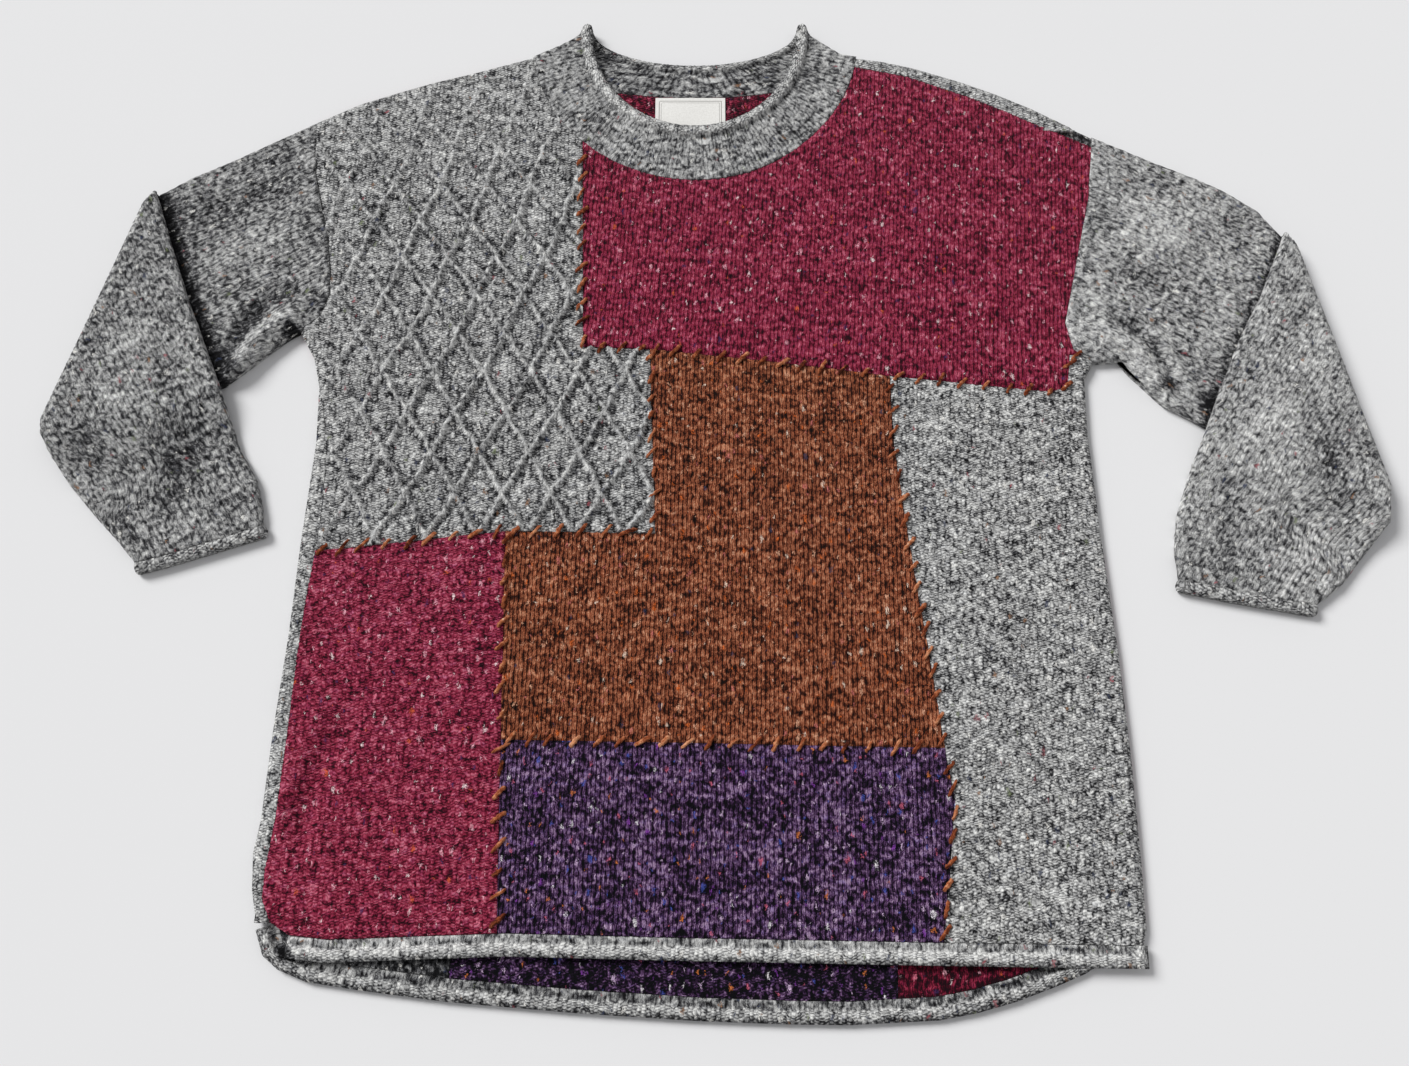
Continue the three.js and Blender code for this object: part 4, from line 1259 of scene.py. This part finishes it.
def make_cuff(name, node, sleeve, materials):
    """The rolled edge of a sleeve: one closed roll round its flattened end."""
    cuff = np.array(sleeve["cuff"], float)
    run = np.linalg.norm(cuff[-1] - cuff[0])
    away = math.copysign(1, cuff[0][0])
    down = away * np.array([cuff[-1][1] - cuff[0][1], -(cuff[-1][0] - cuff[0][0])]) / run
    share, extra, height = flat_ring(70, FLAT, WALL / 2, 8)
    wide = 0.5 + (share + extra / run - 0.5) * 1.025
    path = np.column_stack([along_line(sleeve["cuff"], np.clip(wide, 0, 1)), height])
    overhang = (wide - np.clip(wide, 0, 1)) * run
    path[:, :2] += overhang[:, None] * unit(cuff[-1] - cuff[0])
    tangent = np.roll(path, -1, axis=0) - np.roll(path, 1, axis=0)
    tangent /= np.maximum(np.linalg.norm(tangent, axis=1), 1e-9)[:, None]
    lengthwise = np.array([down[0], down[1], 0.0])
    outward = np.cross(tangent, lengthwise)
    if (outward[:, 2] * (height - FLAT / 2)).sum() < 0:
        outward = -outward
    steps = 16
    angles = 2 * math.pi * np.arange(steps) / steps
    lengths = np.concatenate([[0], np.cumsum(np.linalg.norm(np.diff(path, axis=0), axis=1))])
    ribs = 1 + 0.10 * np.cos(2 * math.pi * lengths / WALE)
    rings = []
    for angle in angles:
        reach = 3.3 + 4.6 * math.cos(angle)
        swell = (2.5 * math.sin(angle) * ribs)[:, None] * outward
        rings.append(path + lengthwise * reach + swell)
    rings = np.array(rings)
    rings = rings + wavering(rings.reshape(-1, 3), 0.14).reshape(steps, -1)[:, :, None] * 0.8
    rings[:, :, 2] = np.maximum(rings[:, :, 2], FLOOR_GAP)
    faces = grid_faces(steps, len(path), closed=True)
    places = np.zeros(rings.shape)
    places[:, :, 0] = lengths / WALE
    places[:, :, 1] = (angles * 3.2 / COURSE)[:, None]
    places[:, :, 2] = 1
    piece = make_object(name, rings.reshape(-1, 3), faces, places.reshape(-1, 3), materials["grey_wool"])
    make_faces_point_out(piece)
    finish_piece(piece, "grey_wool", node)


# ---- label ----

def make_label(materials):
    """A plain sewn-in tape: a thin slab with a slight wave and a woven border."""
    low, high = (np.array(corner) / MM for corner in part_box("neck_label"))
    columns, rows = 30, 18
    xs = np.linspace(low[0], high[0], columns)
    ys = np.linspace(low[1], high[1], rows)
    grid_x, grid_y = np.meshgrid(xs, ys)
    wave = 0.25 * np.sin((grid_x - low[0]) / 9.0) * np.sin((grid_y - low[1]) / 11.0)
    thickness = 0.45
    top = np.column_stack([grid_x.ravel(), grid_y.ravel(), (low[2] + thickness + 0.3 + wave).ravel()])
    bottom = top - np.array([0, 0, thickness])
    edge = np.minimum(np.minimum(grid_x - low[0], high[0] - grid_x),
                      np.minimum(grid_y - low[1], high[1] - grid_y)).ravel()
    faces = []
    count = columns * rows
    for row in range(rows - 1):
        for column in range(columns - 1):
            a = row * columns + column
            faces.append((a, a + 1, a + 1 + columns, a + columns))
            faces.append((count + a + columns, count + a + 1 + columns, count + a + 1, count + a))
    rim = [row for row in range(columns)]
    rim += [row * columns + columns - 1 for row in range(1, rows)]
    rim += [(rows - 1) * columns + column for column in range(columns - 2, -1, -1)]
    rim += [row * columns for row in range(rows - 2, 0, -1)]
    for here, there in zip(rim, rim[1:] + rim[:1]):
        faces.append((count + here, count + there, there, here))
    places = np.column_stack([top[:, :2], edge])
    piece = make_object("neck_tape", np.vstack([top, bottom]), faces, np.vstack([places, places]),
                        materials["label_cotton"], smooth=False)
    finish_piece(piece, "label_cotton", "neck_label")


# ---- oversewing ----

STITCH_SPACING = 16.5
STITCH_LENGTH = 13.0
YARN_RADIUS = 1.35


def seam_runs(borders):
    """Lines along which two patches meet."""
    kinds = list(borders)
    runs = []
    for i, first in enumerate(kinds):
        line = spaced(borders[first][:, :2], 1.0, closed=True)
        for second in kinds[i + 1:]:
            distance, _ = to_line(line, borders[second][:, :2], closed=True)
            near = distance < 0.9
            if not near.any() or near.all():
                continue
            start = int(np.nonzero(~near)[0][0])
            ordered, flags = np.roll(line, -start, axis=0), np.roll(near, -start)
            run = []
            for point, flag in zip(ordered, flags):
                if flag:
                    run.append(point)
                elif run:
                    runs.append(np.array(run))
                    run = []
            if run:
                runs.append(np.array(run))
    return [run for run in runs if len(run) > 12]


def yarn_stitch(middle, direction, length, thickness, rise):
    """One short bowed length of two-ply yarn, closed at both ends: its vertices, faces and knit places."""
    sections, around = 11, 8
    shares = np.linspace(-1, 1, sections)
    bow = rise * (1 - shares ** 4) - 1.3 * np.clip((np.abs(shares) - 0.7) / 0.3, 0, 1) ** 2
    side = np.array([-direction[1], direction[0], 0.0])
    rings = []
    places = []
    angles = 2 * math.pi * np.arange(around) / around
    for share, height in zip(shares, bow):
        along = share * length / 2
        taper = 1 - 0.6 * abs(share) ** 4
        plies = 1 + 0.16 * np.cos(2 * (angles - along * 2 * math.pi / 9.0))
        radius = thickness * taper * plies * chance.uniform(0.8, 1.2, around)
        stray = chance.normal(0, 0.18, 2)
        centre = np.array([middle[0] + direction[0] * along + stray[0],
                           middle[1] + direction[1] * along + stray[1], middle[2] + height])
        ring = centre + (radius * np.cos(angles))[:, None] * side
        ring[:, 2] += radius * 0.8 * np.sin(angles)
        rings.append(ring)
        places.append(np.column_stack([angles / math.pi, np.full(around, along / COURSE),
                                       np.zeros(around)]))
    vertices = np.vstack(rings)
    faces = grid_faces(sections, around)
    faces.append(tuple(range(around))[::-1])
    faces.append(tuple(range(len(vertices) - around, len(vertices))))
    return vertices, faces, np.vstack(places)


def make_oversewing(name, borders, surface, rise, margin, materials):
    """Slanting stitches of rust yarn over every seam between two patches."""
    vertices, faces, places, painted_lights_and_tones = [], [], [], []
    count = 0
    for run in seam_runs(borders):
        place = margin + chance.uniform(0, 3)
        while place < len(run) - margin:
            middle = run[int(place)] + chance.normal(0, 0.5, 2)
            angle = math.radians(50 + chance.normal(0, 11))
            direction = np.array([math.cos(angle), math.sin(angle)])
            height = surface(middle[None])[0]
            length = STITCH_LENGTH + chance.normal(0, 1.8)
            radius = YARN_RADIUS * chance.uniform(0.85, 1.25)
            made, made_faces, made_places = yarn_stitch([*middle, height], direction, length, radius, rise)
            vertices.append(made)
            places.append(made_places + chance.uniform(0, 90, 3) * np.array([0, 1, 0]))
            painted_lights_and_tones.append(np.full(len(made), chance.normal(0.2, 0.9)))
            faces += [tuple(corner + count for corner in face) for face in made_faces]
            count += len(made)
            place += STITCH_SPACING + chance.normal(0, 1.3)
    vertices = np.vstack(vertices)
    vertices[:, 2] = np.maximum(vertices[:, 2], FLOOR_GAP)
    piece = make_object(name, vertices, faces, np.vstack(places), materials["rust"], np.concatenate(painted_lights_and_tones))
    make_faces_point_out(piece)
    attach(piece, "root")


# ---- main ----

def main():
    make_camera()
    make_stage()
    materials = {
        "grey_wool": grey_wool(),
        "burgundy_wool": burgundy_wool(),
        "brown_wool": brown_wool(),
        "purple_wool": purple_wool(),
        "rust": oversewing_wool(),
        "label_cotton": label_cotton(),
    }
    front = {kind: front_patch(kind, materials) for kind in PATCHES}
    back = {kind: back_patch(kind, materials) for kind in PATCHES}
    make_bands(materials)
    make_sleeve("sleeve_left", "left_sleeve", LEFT_SLEEVE, materials)
    make_sleeve("sleeve_right", "right_sleeve", RIGHT_SLEEVE, materials)
    make_cuff("cuff_roll_left", "left_cuff", LEFT_SLEEVE, materials)
    make_cuff("cuff_roll_right", "right_cuff", RIGHT_SLEEVE, materials)
    make_label(materials)
    make_oversewing("oversewing_front", front, lambda points: FLAT + creased(points), 1.3, 4.5, materials)
    make_oversewing("oversewing_back", back, lambda points: np.full(len(points), 0.9), -0.2, 12, materials)


main()
